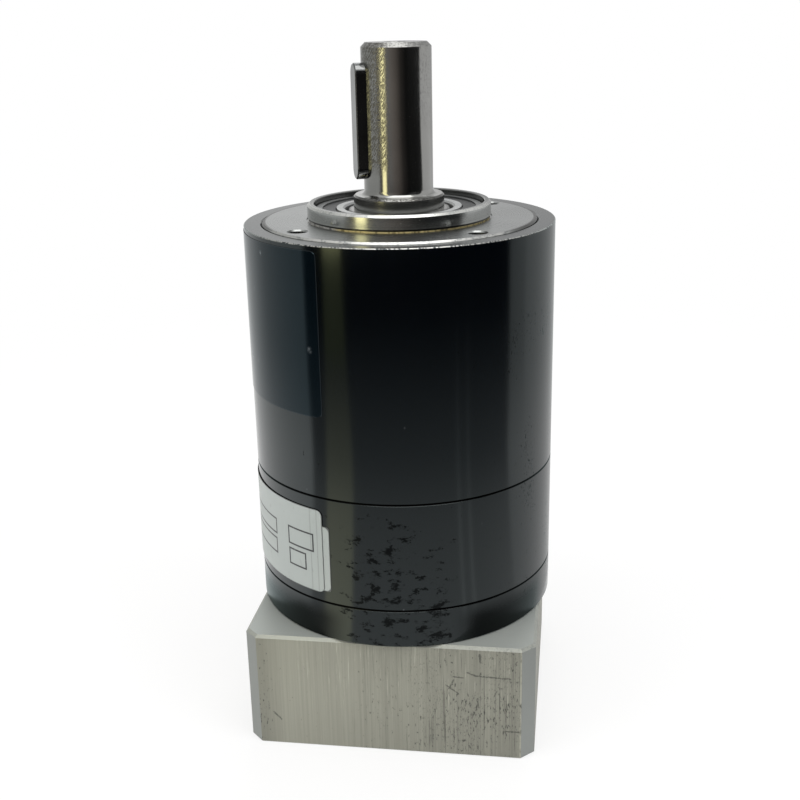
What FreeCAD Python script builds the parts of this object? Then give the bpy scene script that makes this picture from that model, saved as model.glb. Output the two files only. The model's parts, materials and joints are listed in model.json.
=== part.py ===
import FreeCAD, Part
import math
import os
import Sketcher

# Two-stage planetary gearbox, standing on its motor flange with the output shaft up.
# Origin: centre of the motor flange's underside. Z is the common axis of all shafts. Millimetres.

# Driving dimensions, each written once. Everything that fits another piece is worked out from these.
SIZES = [
    # Toothing, the same in both stages
    ("gear_module", 1.25),
    ("sun_teeth", 12),
    ("planet_teeth", 18),
    ("planet_count", 3),
    ("pressure_angle", 25),
    ("tooth_tip", 1.0),
    ("tooth_root_gap", 0.25),
    ("tooth_play", 0.06),
    ("output_planet_width", 22),
    ("input_planet_width", 16),
    # Planet pins, their needle rollers, thrust washers and clips
    ("pin_diameter", 8),
    ("needle_diameter", 3),
    ("needle_play", 0.04),
    ("needle_side_gap", 0.08),
    ("needle_end_gap", 0.5),
    ("washer_thickness", 1),
    ("washer_rim", 0.92),
    ("planet_end_play", 0.1),
    ("pin_clip_thickness", 0.8),
    ("pin_clip_width", 2.4),
    ("pin_clip_groove", 0.6),
    ("pin_tail", 1),
    ("input_pin_end_gap", 1.5),
    ("output_pin_end_gap", 1.5),
    ("carrier_thickness", 6),
    ("carrier_rim_gap", 0.75),
    ("carrier_stage_gap", 0.5),
    ("sun_end_gap", 0.5),
    ("sun_shank_diameter", 11),
    ("sun_collar", 2),
    # Output shaft and key
    ("shaft_diameter", 19),
    ("shaft_length", 40),
    ("shaft_bevel", 1.2),
    ("shoulder_step", 3),
    ("shoulder_rise", 2),
    ("shoulder_bevel", 0.5),
    ("shoulder_fillet", 1.5),
    ("centre_hole_diameter", 5),
    ("centre_hole_depth", 16),
    ("centre_hole_bevel", 0.7),
    ("key_width", 6),
    ("key_height", 6),
    ("key_bed", 3.5),
    ("key_bevel", 0.3),
    ("key_foot_gap", 4.4),
    ("key_end_gap", 5.1),
    ("key_angle", 203),
    # Bearings: section is the radial height between bore and outside
    ("front_seat_step", 2.5),
    ("front_seat_drop", 0.5),
    ("front_seat_bevel", 1.2),
    ("front_bearing_section", 8.5),
    ("front_bearing_width", 9),
    ("front_ball_diameter", 5),
    ("rear_seat_step", 2.5),
    ("rear_collar_step", 3),
    ("rear_bearing_section", 13.5),
    ("rear_bearing_width", 14),
    ("rear_ball_diameter", 8),
    ("input_bearing_section", 8.5),
    ("input_bearing_width", 9),
    ("input_ball_diameter", 5),
    ("race_groove", 0.55),
    ("race_bevel", 0.5),
    ("ball_play", 0.06),
    ("ball_spacing", 3.6),
    ("cage_thickness", 1.2),
    ("cage_rim", 0.25),
    ("cage_play", 0.15),
    ("shield_thickness", 0.4),
    ("shield_recess", 0.4),
    ("shield_gap", 0.3),
    ("spacer_wall", 2.5),
    # Circlips
    ("rear_clip_thickness", 2),
    ("input_clip_thickness", 1.75),
    ("journal_clip_thickness", 1.5),
    ("clip_groove_depth", 0.9),
    ("clip_width", 3),
    ("clip_opening", 6),
    ("clip_ear_diameter", 4),
    ("clip_ear_hole", 1.6),
    # Housing sections
    ("spigot_wall", 2.4),
    ("spigot_height", 3),
    ("spigot_end_gap", 0.2),
    ("seal_section", 1),
    ("seal_land", 0.08),
    ("body_wall", 1.25),
    ("joint_bevel", 0.35),
    ("top_bevel", 0.2),
    ("tooth_overrun", 0.5),
    ("runout_depth", 0.5),
    ("bearing_lip", 2),
    ("rear_lip_thickness", 2),
    ("carrier_lip_gap", 0.5),
    ("cover_floor_gap", 3),
    # Front cover
    ("pilot_wall", 1.6),
    ("pilot_rim", 1.5),
    ("pilot_bevel", 0.6),
    ("pilot_bore_bevel", 0.2),
    ("pilot_undercut_width", 0.8),
    ("pilot_undercut_depth", 0.3),
    ("face_relief", 0.3),
    ("cover_land", 12.6),
    ("cover_wall", 5),
    ("cover_lip", 7.5),
    ("cover_proud", 0.5),
    ("cover_bevel", 0.5),
    ("front_bearing_rise", 3.5),
    ("cover_hole_offset", 1.55),
    ("cover_hole_count", 4),
    ("cover_hole_diameter", 5),
    ("cover_hole_depth", 11),
    ("cover_hole_bevel", 0.4),
    # Screws along the body and in the motor flange
    ("body_screw_count", 6),
    ("body_screw_diameter", 4),
    ("body_screw_hole", 4.5),
    ("body_screw_grip", 13),
    ("body_head_diameter", 7),
    ("body_head_height", 4),
    ("body_head_gap", 0.25),
    ("body_head_sink", 0.4),
    ("flange_screw_count", 4),
    ("flange_screw_diameter", 5),
    ("flange_screw_hole", 5.5),
    ("flange_screw_grip", 9),
    ("flange_head_diameter", 8.5),
    ("flange_head_height", 5),
    ("flange_head_gap", 0.25),
    ("flange_head_sink", 0.3),
    ("socket_share", 0.48),
    # Motor side
    ("flange_side", 81.5),
    ("flange_thickness", 34.5),
    ("flange_corner", 3.6),
    ("flange_bevel", 0.8),
    ("flange_foot_bevel", 0.3),
    ("motor_pilot_diameter", 70),
    ("motor_pilot_depth", 4),
    ("motor_hole_circle", 90),
    ("motor_hole_count", 4),
    ("motor_hole_diameter", 5),
    ("motor_hole_depth", 16),
    ("motor_shaft_diameter", 19),
    ("hub_wall", 4.5),
    ("journal_step", 1),
    ("hub_shoulder_step", 2),
    ("hub_floor_gap", 3),
    ("hub_roof", 6),
    ("hub_slit_width", 1.5),
    ("hub_slit_length", 20),
    ("hub_slit_count", 3),
    ("collar_wall", 7),
    ("collar_height", 14),
    ("collar_floor_gap", 2),
    ("collar_slit", 2),
    ("collar_bore_gap", 2),
    ("clamp_screw_diameter", 4),
    ("clamp_screw_reach", 8),
    ("clamp_head_diameter", 7),
    ("clamp_head_height", 4),
    ("clamp_head_seat", 4),
    ("clamp_head_gap", 0.25),
    ("clamp_sweep_gap", 0.5),
    ("access_hole_diameter", 8),
    ("plug_length", 8),
    ("plug_head_diameter", 11),
    ("plug_head_thickness", 1.6),
    # Foil labels, angles counted from the +X axis
    ("foil", 0.1),
    ("glue", 0.05),
    ("sticker_edge_angle", 249.1),
    ("sticker_width", 66),
    ("sticker_height", 44),
    ("sticker_top_gap", 1.3),
    ("sticker_corner", 1.5),
    ("plate_edge_angle", 247),
    ("plate_width", 66),
    ("plate_height", 24.6),
    ("plate_floor_gap", 2.75),
    ("plate_corner", 1.7),
    ("under_edge_angle", 249.8),
    ("under_width", 40),
    ("under_height", 19.35),
    ("under_floor_gap", 3.45),
    ("under_corner", 0.8),
]

doc = FreeCAD.newDocument("Gearbox")
sheet = doc.addObject("Spreadsheet::Sheet", "Sizes")
for row, (alias, value) in enumerate(SIZES, 1):
    sheet.set(f"A{row}", alias)
    sheet.set(f"B{row}", str(value))
    sheet.setAlias(f"B{row}", alias)
doc.recompute()

# Radii, as expressions of the sheet's cells
RING_TEETH = "(Sizes.sun_teeth + 2 * Sizes.planet_teeth)"
TOOTH_ROOT = "(Sizes.tooth_tip + Sizes.tooth_root_gap)"
PLANET_CIRCLE = "(Sizes.gear_module * (Sizes.sun_teeth + Sizes.planet_teeth) / 2)"
SUN_TIP = "(Sizes.gear_module * (Sizes.sun_teeth / 2 + Sizes.tooth_tip))"
SUN_ROOT = f"(Sizes.gear_module * (Sizes.sun_teeth / 2 - {TOOTH_ROOT}))"
PLANET_TIP = "(Sizes.gear_module * (Sizes.planet_teeth / 2 + Sizes.tooth_tip))"
PLANET_ROOT = f"(Sizes.gear_module * (Sizes.planet_teeth / 2 - {TOOTH_ROOT}))"
RING_TIP = f"(Sizes.gear_module * ({RING_TEETH} / 2 - Sizes.tooth_tip))"
RING_ROOT = f"(Sizes.gear_module * ({RING_TEETH} / 2 + {TOOTH_ROOT}))"
PIN = "(Sizes.pin_diameter / 2)"
NEEDLE = "(Sizes.needle_diameter / 2)"
NEEDLE_CIRCLE = f"({PIN} + Sizes.needle_play + {NEEDLE})"
PLANET_BORE = f"({NEEDLE_CIRCLE} + {NEEDLE} + Sizes.needle_play)"
WASHER = f"({PLANET_BORE} + Sizes.washer_rim)"
CARRIER = f"({RING_TIP} - Sizes.carrier_rim_gap)"
SHAFT = "(Sizes.shaft_diameter / 2)"
SHOULDER = f"({SHAFT} + Sizes.shoulder_step)"
FRONT_SEAT = f"({SHOULDER} + Sizes.front_seat_step)"
FRONT_OUTER = f"({FRONT_SEAT} + Sizes.front_bearing_section)"
REAR_SEAT = f"({FRONT_SEAT} + Sizes.rear_seat_step)"
REAR_OUTER = f"({REAR_SEAT} + Sizes.rear_bearing_section)"
MOTOR_BORE = "(Sizes.motor_shaft_diameter / 2)"
HUB = f"({MOTOR_BORE} + Sizes.hub_wall)"
JOURNAL = f"({HUB} + Sizes.journal_step)"
INPUT_OUTER = f"({JOURNAL} + Sizes.input_bearing_section)"
COLLAR = f"({HUB} + Sizes.collar_wall)"
CLAMP_OFFSET = f"({HUB} + Sizes.collar_wall / 2)"
CLAMP_SWEEP = (
    f"sqrt(pow({CLAMP_OFFSET} + Sizes.clamp_head_diameter / 2; 2)"
    " + pow(Sizes.clamp_head_seat + Sizes.clamp_head_height; 2))"
)
FLANGE_BORE = f"max({COLLAR} + Sizes.collar_bore_gap; {CLAMP_SWEEP} + Sizes.clamp_sweep_gap)"
SPIGOT = f"(max({RING_ROOT}; {INPUT_OUTER} + Sizes.clip_groove_depth) + Sizes.spigot_wall)"
SEAL_SEAT = "(Sizes.seal_section * (1 + sqrt(2) / 2))"
SCREW_CIRCLE = f"({SPIGOT} + {SEAL_SEAT} + Sizes.seal_land + Sizes.body_screw_hole / 2)"
HEAD_POCKET = "(Sizes.body_head_diameter / 2 + Sizes.body_head_gap)"
PILOT = f"({FRONT_OUTER} + Sizes.pilot_wall + Sizes.pilot_undercut_depth)"
COVER = f"({PILOT} + Sizes.cover_land)"
BODY = f"max({SCREW_CIRCLE} + {HEAD_POCKET} + Sizes.body_wall; {COVER} + Sizes.cover_wall)"
COVER_HOLES = f"(({PILOT} + {COVER}) / 2 + Sizes.cover_hole_offset)"
FLANGE_HEAD_POCKET = "(Sizes.flange_head_diameter / 2 + Sizes.flange_head_gap)"
FLANGE_SCREWS = f"((Sizes.motor_pilot_diameter / 2 + {FLANGE_BORE}) / 2)"

# Heights, from the motor flange upwards
FLANGE_TOP = "Sizes.flange_thickness"
INPUT_BEARING = f"({FLANGE_TOP} + Sizes.bearing_lip)"
ADAPTER_TOP = f"({INPUT_BEARING} + Sizes.input_bearing_width)"
BOSS_TOP = f"({ADAPTER_TOP} + Sizes.spigot_height)"
INPUT_PIN_END = f"({BOSS_TOP} + Sizes.input_pin_end_gap)"
INPUT_CLIPS = f"({INPUT_PIN_END} + Sizes.pin_tail)"
INPUT_WASHERS = f"({INPUT_CLIPS} + Sizes.pin_clip_thickness)"
INPUT_PLANETS = f"({INPUT_WASHERS} + Sizes.washer_thickness + Sizes.planet_end_play)"
INPUT_PLANET_TOP = f"({INPUT_PLANETS} + Sizes.input_planet_width)"
INPUT_CARRIER = f"({INPUT_PLANET_TOP} + Sizes.planet_end_play + Sizes.washer_thickness)"
INPUT_CARRIER_TOP = f"({INPUT_CARRIER} + Sizes.carrier_thickness)"
RING_TOP = f"({INPUT_CARRIER_TOP} + Sizes.carrier_stage_gap)"
OUTPUT_PIN_END = f"({RING_TOP} + Sizes.output_pin_end_gap)"
OUTPUT_CLIPS = f"({OUTPUT_PIN_END} + Sizes.pin_tail)"
OUTPUT_WASHERS = f"({OUTPUT_CLIPS} + Sizes.pin_clip_thickness)"
OUTPUT_PLANETS = f"({OUTPUT_WASHERS} + Sizes.washer_thickness + Sizes.planet_end_play)"
OUTPUT_PLANET_TOP = f"({OUTPUT_PLANETS} + Sizes.output_planet_width)"
OUTPUT_CARRIER = f"({OUTPUT_PLANET_TOP} + Sizes.planet_end_play + Sizes.washer_thickness)"
OUTPUT_CARRIER_TOP = f"({OUTPUT_CARRIER} + Sizes.carrier_thickness)"
REAR_LIP = f"({OUTPUT_CARRIER_TOP} + Sizes.carrier_lip_gap)"
REAR_BEARING = f"({REAR_LIP} + Sizes.rear_lip_thickness)"
REAR_BEARING_TOP = f"({REAR_BEARING} + Sizes.rear_bearing_width)"
COVER_SEAT = f"({REAR_BEARING_TOP} + Sizes.rear_clip_thickness + Sizes.cover_floor_gap)"
FRONT_BEARING = f"({COVER_SEAT} + Sizes.cover_lip)"
FRONT_BEARING_TOP = f"({FRONT_BEARING} + Sizes.front_bearing_width)"
BODY_TOP = f"({FRONT_BEARING_TOP} - Sizes.front_bearing_rise)"
COVER_TOP = f"({BODY_TOP} + Sizes.cover_proud)"
PILOT_TOP = f"({FRONT_BEARING_TOP} + Sizes.pilot_rim)"
SHOULDER_TOP = f"({PILOT_TOP} + Sizes.shoulder_rise)"
SHAFT_END = f"({SHOULDER_TOP} + Sizes.shaft_length)"
KEY_LENGTH = "(Sizes.shaft_length - Sizes.key_foot_gap - Sizes.key_end_gap)"
TEETH_START = f"({RING_TOP} + Sizes.spigot_height + Sizes.spigot_end_gap)"
TEETH_END = f"({OUTPUT_CARRIER} + Sizes.tooth_overrun)"
HUB_FLOOR = "(Sizes.motor_pilot_depth + Sizes.hub_floor_gap)"
COLLAR_FLOOR = f"({HUB_FLOOR} + Sizes.collar_floor_gap)"
CLAMP_HEIGHT = f"({COLLAR_FLOOR} + Sizes.collar_height / 2)"

# The first planet of each stage stands on the +Y axis
FIRST_PLANET = 90
# Openings of the circlips in bores face +Y, that of the circlip on the hub faces -X
BORE_CLIP_TURN = 90
HUB_CLIP_TURN = 180
# Across corners over across flats of a hexagon socket
HEXAGON = "2 / sqrt(3)"
# Largest share of its step that the shoulder's fillet takes
FILLET_SHARE = 0.9
# Lengths closer than this count as equal
EQUAL = 1e-6
UPWARD = FreeCAD.Vector(0, 0, 1)
SIDEWAYS = FreeCAD.Vector(1, 0, 0)
# Lays a cylinder's axis along X
LYING = FreeCAD.Rotation(FreeCAD.Vector(0, 1, 0), 90)

nodes = {}


def number(expression):
    """Present value of an expression of the sheet's cells."""
    return float(sheet.evalExpression(expression))


def keep(name, piece):
    """Make an object of the document a finished sub-part with this name."""
    piece.Label = name
    nodes[name] = piece
    return piece


def origin_feature(body, role):
    return next(item for item in body.Origin.OriginFeatures if item.Role == role)


def new_body(name):
    body = doc.addObject("PartDesign::Body", name)
    body.AllowCompound = True
    return body


def bind(thing, **expressions):
    for prop, expression in expressions.items():
        thing.setExpression(prop, expression)


def turned(name, outline):
    """Body turned about Z: outline is a closed row of (radius, height) expressions.

    A third entry (centre radius, centre height) makes the run to the next point a hollow round.
    """
    body = new_body(name)
    sketch = body.newObject("Sketcher::SketchObject", name + "_outline")
    sketch.AttachmentSupport = [(origin_feature(body, "XZ_Plane"), "")]
    sketch.MapMode = "FlatFace"
    points = [FreeCAD.Vector(number(corner[0]), number(corner[1]), 0) for corner in outline]
    count = len(outline)
    ends = []
    for index, corner in enumerate(outline):
        start, stop = points[index], points[(index + 1) % count]
        if len(corner) == 2:
            sketch.addGeometry(Part.LineSegment(start, stop), False)
            ends.append((1, 2))
            continue
        centre = FreeCAD.Vector(number(corner[2][0]), number(corner[2][1]), 0)
        angles = [math.atan2(point.y - centre.y, point.x - centre.x) for point in (stop, start)]
        circle = Part.Circle(centre, UPWARD, (start - centre).Length)
        sketch.addGeometry(Part.ArcOfCircle(circle, *angles), False)
        ends.append((2, 1))
    for index in range(count):
        following = (index + 1) % count
        sketch.addConstraint(
            Sketcher.Constraint("Coincident", index, ends[index][1], following, ends[following][0])
        )
    for index, corner in enumerate(outline):
        for kind, present, expression in (
            ("DistanceX", points[index].x, corner[0]),
            ("DistanceY", points[index].y, corner[1]),
        ):
            constraint = sketch.addConstraint(
                Sketcher.Constraint(kind, -1, 1, index, ends[index][0], present)
            )
            sketch.setExpression(f"Constraints[{constraint}]", expression)
        if len(corner) == 3:
            constraint = sketch.addConstraint(
                Sketcher.Constraint("DistanceX", -1, 1, index, 3, number(corner[2][0]))
            )
            sketch.setExpression(f"Constraints[{constraint}]", corner[2][0])
    revolution = body.newObject("PartDesign::Revolution", name + "_turned")
    revolution.Profile = sketch
    revolution.ReferenceAxis = (sketch, ["V_Axis"])
    revolution.Angle = 360
    doc.recompute()
    return body


def solid(body, kind, name, x="0", y="0", z="0", turn=FreeCAD.Rotation(), **sizes):
    """Add or take away a basic solid at x, y, z, standing upright unless it is turned."""
    feature = body.newObject("PartDesign::" + kind, name)
    feature.AttachmentSupport = [(origin_feature(body, "XY_Plane"), "")]
    feature.MapMode = "FlatFace"
    feature.AttachmentOffset = FreeCAD.Placement(FreeCAD.Vector(), turn)
    bind(feature, **sizes)
    for axis, expression in (("x", x), ("y", y), ("z", z)):
        feature.setExpression(f"AttachmentOffset.Base.{axis}", expression)
    doc.recompute()
    return feature


def around(body, name, originals, count):
    """Repeat features evenly about Z."""
    pattern = body.newObject("PartDesign::PolarPattern", name)
    pattern.Originals = originals
    pattern.Axis = (origin_feature(body, "Z_Axis"), [""])
    pattern.Angle = 360
    pattern.setExpression("Occurrences", count)
    body.Tip = pattern
    doc.recompute()


def on_circle(radius, angle):
    return f"{radius} * cos({angle})", f"{radius} * sin({angle})"


def drill(body, name, circle, angle, count, floor, radius, depth):
    """A ring of round holes, each standing on floor and depth high."""
    x, y = on_circle(circle, angle)
    hole = solid(body, "SubtractiveCylinder", name, x, y, floor, Radius=radius, Height=depth)
    around(body, name + "_ring", [hole], count)


def combine(kind, name, base, tool):
    result = doc.addObject("Part::" + kind, name)
    result.Base = base
    result.Tool = tool
    doc.recompute()
    return result


def edges_where(feature, test):
    """Names of a feature's edges that pass a test."""
    return [f"Edge{i}" for i, edge in enumerate(feature.Shape.Edges, 1) if test(edge)]


def dress(body, kind, name, test, prop, size):
    """Fillet or chamfer the edges of the body that pass a test."""
    base = body.Tip
    feature = body.newObject("PartDesign::" + kind, name)
    feature.Base = (base, edges_where(base, test))
    feature.setExpression(prop, size)
    doc.recompute()


def level(edge, height):
    return all(abs(vertex.Z - height) < EQUAL for vertex in edge.Vertexes)


def along(edge, axis):
    """Whether an edge runs straight along one of the x, y and z axes."""
    ends = edge.Vertexes
    if len(ends) < 2:
        return False
    step = ends[1].Point - ends[0].Point
    return abs(abs(getattr(step, axis)) - step.Length) < EQUAL


def polar(radius, angle):
    return FreeCAD.Vector(radius * math.cos(angle), radius * math.sin(angle), 0)


def tooth_outline(name, teeth, tip, root, thinning, turn):
    """Flat involute outline: turn is a tooth's shift from the first planet, as a share of the pitch."""
    flank_steps = 6
    pressure = math.radians(number("Sizes.pressure_angle"))
    pitch_radius = number("Sizes.gear_module") * teeth / 2
    base_radius = pitch_radius * math.cos(pressure)
    pitch = 2 * math.pi / teeth
    half_tooth = pitch / 4 - thinning / (2 * pitch_radius)
    start = max(base_radius, root)

    def involute(angle):
        return math.tan(angle) - angle

    def half_width(radius):
        return half_tooth + involute(pressure) - involute(math.acos(base_radius / radius))

    radii = [start + (tip - start) * step / flank_steps for step in range(flank_steps + 1)]
    edges = []
    for tooth in range(teeth):
        centre = math.radians(FIRST_PLANET) + (tooth + turn) * pitch
        foot = half_width(start)
        rising = [polar(radius, centre - half_width(radius)) for radius in radii]
        falling = [polar(radius, centre + half_width(radius)) for radius in reversed(radii)]
        foot_left, foot_right = polar(root, centre - foot), polar(root, centre + foot)
        next_foot = polar(root, centre + pitch - foot)
        curves = [Part.BSplineCurve(), Part.BSplineCurve()]
        curves[0].interpolate(rising)
        curves[1].interpolate(falling)
        below_base = root < base_radius
        if below_base:
            edges.append(Part.LineSegment(foot_left, rising[0]).toShape())
        edges.append(curves[0].toShape())
        edges.append(Part.Arc(rising[-1], polar(tip, centre), falling[0]).toShape())
        edges.append(curves[1].toShape())
        if below_base:
            edges.append(Part.LineSegment(falling[-1], foot_right).toShape())
        edges.append(Part.Arc(foot_right, polar(root, centre + pitch / 2), next_foot).toShape())
    outline = doc.addObject("Part::Feature", name)
    outline.Shape = Part.Face(Part.Wire(edges))
    return outline


def toothed(name, outline, floor, height):
    """Straight toothing of an outline, from floor upwards."""
    bar = doc.addObject("Part::Extrusion", name)
    bar.Base = outline
    bar.DirMode = "Custom"
    bar.Dir = UPWARD
    bar.Solid = True
    bind(bar, LengthFwd=height)
    bar.setExpression("Placement.Base.z", floor)
    return bar


def cylinder(name, radius, height, floor="0"):
    rod = doc.addObject("Part::Cylinder", name)
    bind(rod, Radius=radius, Height=height)
    rod.setExpression("Placement.Base.z", floor)
    return rod


def placed(piece, axis, angle, x="0", y="0", z="0"):
    """Turn a piece about an axis of the frame and bind its place."""
    piece.Placement = FreeCAD.Placement(FreeCAD.Vector(), FreeCAD.Rotation(axis, angle))
    for name, expression in (("x", x), ("y", y), ("z", z)):
        piece.setExpression(f"Placement.Base.{name}", expression)
    doc.recompute()
    return piece


TEETH = {name: int(number(f"Sizes.{name}_teeth")) for name in ("sun", "planet")}
TEETH["ring"] = int(number(RING_TEETH))
PLAY = number("Sizes.tooth_play")
HALF_PITCH = 0.5
# Each planet has a gap towards its ring tooth, and a gap or a tooth towards the sun
SUN_TURN = HALF_PITCH * (TEETH["planet"] % 2)
sun_outline = tooth_outline(
    "sun_outline", TEETH["sun"], number(SUN_TIP), number(SUN_ROOT), PLAY, SUN_TURN
)
planet_outline = tooth_outline(
    "planet_outline", TEETH["planet"], number(PLANET_TIP), number(PLANET_ROOT), PLAY, HALF_PITCH
)
space_outline = tooth_outline(
    "space_outline", TEETH["ring"], number(RING_ROOT), number(RING_TIP), -PLAY, HALF_PITCH
)


def planet_angles():
    """Directions of the planets, as even as the numbers of teeth let them be put in."""
    places = TEETH["sun"] + TEETH["ring"]
    count = int(number("Sizes.planet_count"))
    return [FIRST_PLANET + 360 / places * round(index * places / count) for index in range(count)]


PLANET_ANGLES = planet_angles()


def at_planets(body, name, steps):
    """Cylinders of (kind, floor, radius, height) at every planet's place."""
    for planet, angle in enumerate(PLANET_ANGLES, 1):
        x, y = on_circle(PLANET_CIRCLE, angle)
        for step, (kind, floor, radius, height) in enumerate(steps, 1):
            solid(
                body, kind + "Cylinder", f"{name}_{planet}_{step}", x, y, floor,
                Radius=radius, Height=height,
            )


def circlip(name, inner, outer, floor, thickness, ear_circle, opening_angle):
    """Open snap ring with an eared opening."""
    clip = turned(
        name + "_clip",
        [
            (inner, floor),
            (outer, floor),
            (outer, f"{floor} + {thickness}"),
            (inner, f"{floor} + {thickness}"),
        ],
    )
    half = "Sizes.clip_opening / 2"
    for side, sign in (("left", ""), ("right", "-")):
        y = f"{sign}({half} + Sizes.clip_ear_diameter / 2)"
        solid(
            clip, "AdditiveCylinder", f"{name}_{side}_ear", ear_circle, y, floor,
            Radius="Sizes.clip_ear_diameter / 2", Height=thickness,
        )
        solid(
            clip, "SubtractiveCylinder", f"{name}_{side}_hole", ear_circle, y, floor,
            Radius="Sizes.clip_ear_hole / 2", Height=thickness,
        )
    solid(
        clip, "SubtractiveBox", name + "_opening", "0", f"-{half}", floor,
        Length=f"{outer} + Sizes.clip_ear_diameter", Width="Sizes.clip_opening", Height=thickness,
    )
    keep(name, placed(clip, UPWARD, opening_angle))


def ball_bearing(name, bore, outer, floor, width, ball):
    """Deep-groove ball bearing: two races, a ring of balls and their cage."""
    bevel = "Sizes.race_bevel"
    top = f"({floor} + {width})"
    middle = f"({floor} + {width} / 2)"
    pitch = f"(({bore} + {outer}) / 2)"
    inner_land = f"({pitch} - {ball} / 2 + Sizes.race_groove)"
    outer_land = f"({pitch} + {ball} / 2 - Sizes.race_groove)"
    track_reach = f"sqrt(pow({ball} / 2 + Sizes.ball_play; 2) - pow({ball} / 2 - Sizes.race_groove; 2))"
    track_low, track_high = f"{middle} - {track_reach}", f"{middle} + {track_reach}"
    inner_race = turned(
        name + "_inner_ring",
        [
            (f"{bore} + {bevel}", floor),
            (inner_land, floor),
            (inner_land, track_low, (pitch, middle)),
            (inner_land, track_high),
            (inner_land, top),
            (f"{bore} + {bevel}", top),
            (bore, f"{top} - {bevel}"),
            (bore, f"{floor} + {bevel}"),
        ],
    )
    keep(name + "_inner_race", inner_race)
    outer_race = turned(
        name + "_outer_ring",
        [
            (outer_land, floor),
            (f"{outer} - {bevel}", floor),
            (outer, f"{floor} + {bevel}"),
            (outer, f"{top} - {bevel}"),
            (f"{outer} - {bevel}", top),
            (outer_land, top),
            (outer_land, track_high, (pitch, middle)),
            (outer_land, track_low),
        ],
    )
    keep(name + "_outer_race", outer_race)
    pitch_length = 2 * math.pi * number(pitch)
    count = str(int(pitch_length / (number(ball) + number("Sizes.ball_spacing"))))
    balls = new_body(name + "_ball_row")
    one = solid(balls, "AdditiveSphere", name + "_ball", pitch, "0", middle, Radius=f"{ball} / 2")
    around(balls, name + "_ball_ring", [one], count)
    keep(name + "_balls", balls)
    half_cage = f"({ball} / 2 + Sizes.cage_play + Sizes.cage_rim)"
    cage = turned(
        name + "_cage_ring",
        [
            (f"{pitch} - Sizes.cage_thickness / 2", f"{middle} - {half_cage}"),
            (f"{pitch} + Sizes.cage_thickness / 2", f"{middle} - {half_cage}"),
            (f"{pitch} + Sizes.cage_thickness / 2", f"{middle} + {half_cage}"),
            (f"{pitch} - Sizes.cage_thickness / 2", f"{middle} + {half_cage}"),
        ],
    )
    pocket = solid(
        cage, "SubtractiveCylinder", name + "_pocket", f"{pitch} - {ball} / 2", "0", middle, LYING,
        Radius=f"{ball} / 2 + Sizes.cage_play", Height=ball,
    )
    around(cage, name + "_pockets", [pocket], count)
    keep(name + "_cage", cage)
    return inner_land, outer_land


def bearing_shields(name, lands, floor, width):
    """Two sheet rings held by the outer race, clear of the inner one."""
    inner, outer = f"{lands[0]} + Sizes.shield_gap", lands[1]
    body = new_body(name + "_pair")
    low = f"({floor} + Sizes.shield_recess)"
    high = f"({floor} + {width} - Sizes.shield_recess - Sizes.shield_thickness)"
    for place, height in (("low", low), ("high", high)):
        solid(
            body, "AdditiveCylinder", f"{name}_{place}", z=height,
            Radius=outer, Height="Sizes.shield_thickness",
        )
    solid(body, "SubtractiveCylinder", name + "_bore", z=floor, Radius=inner, Height=width)
    keep(name, body)


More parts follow.
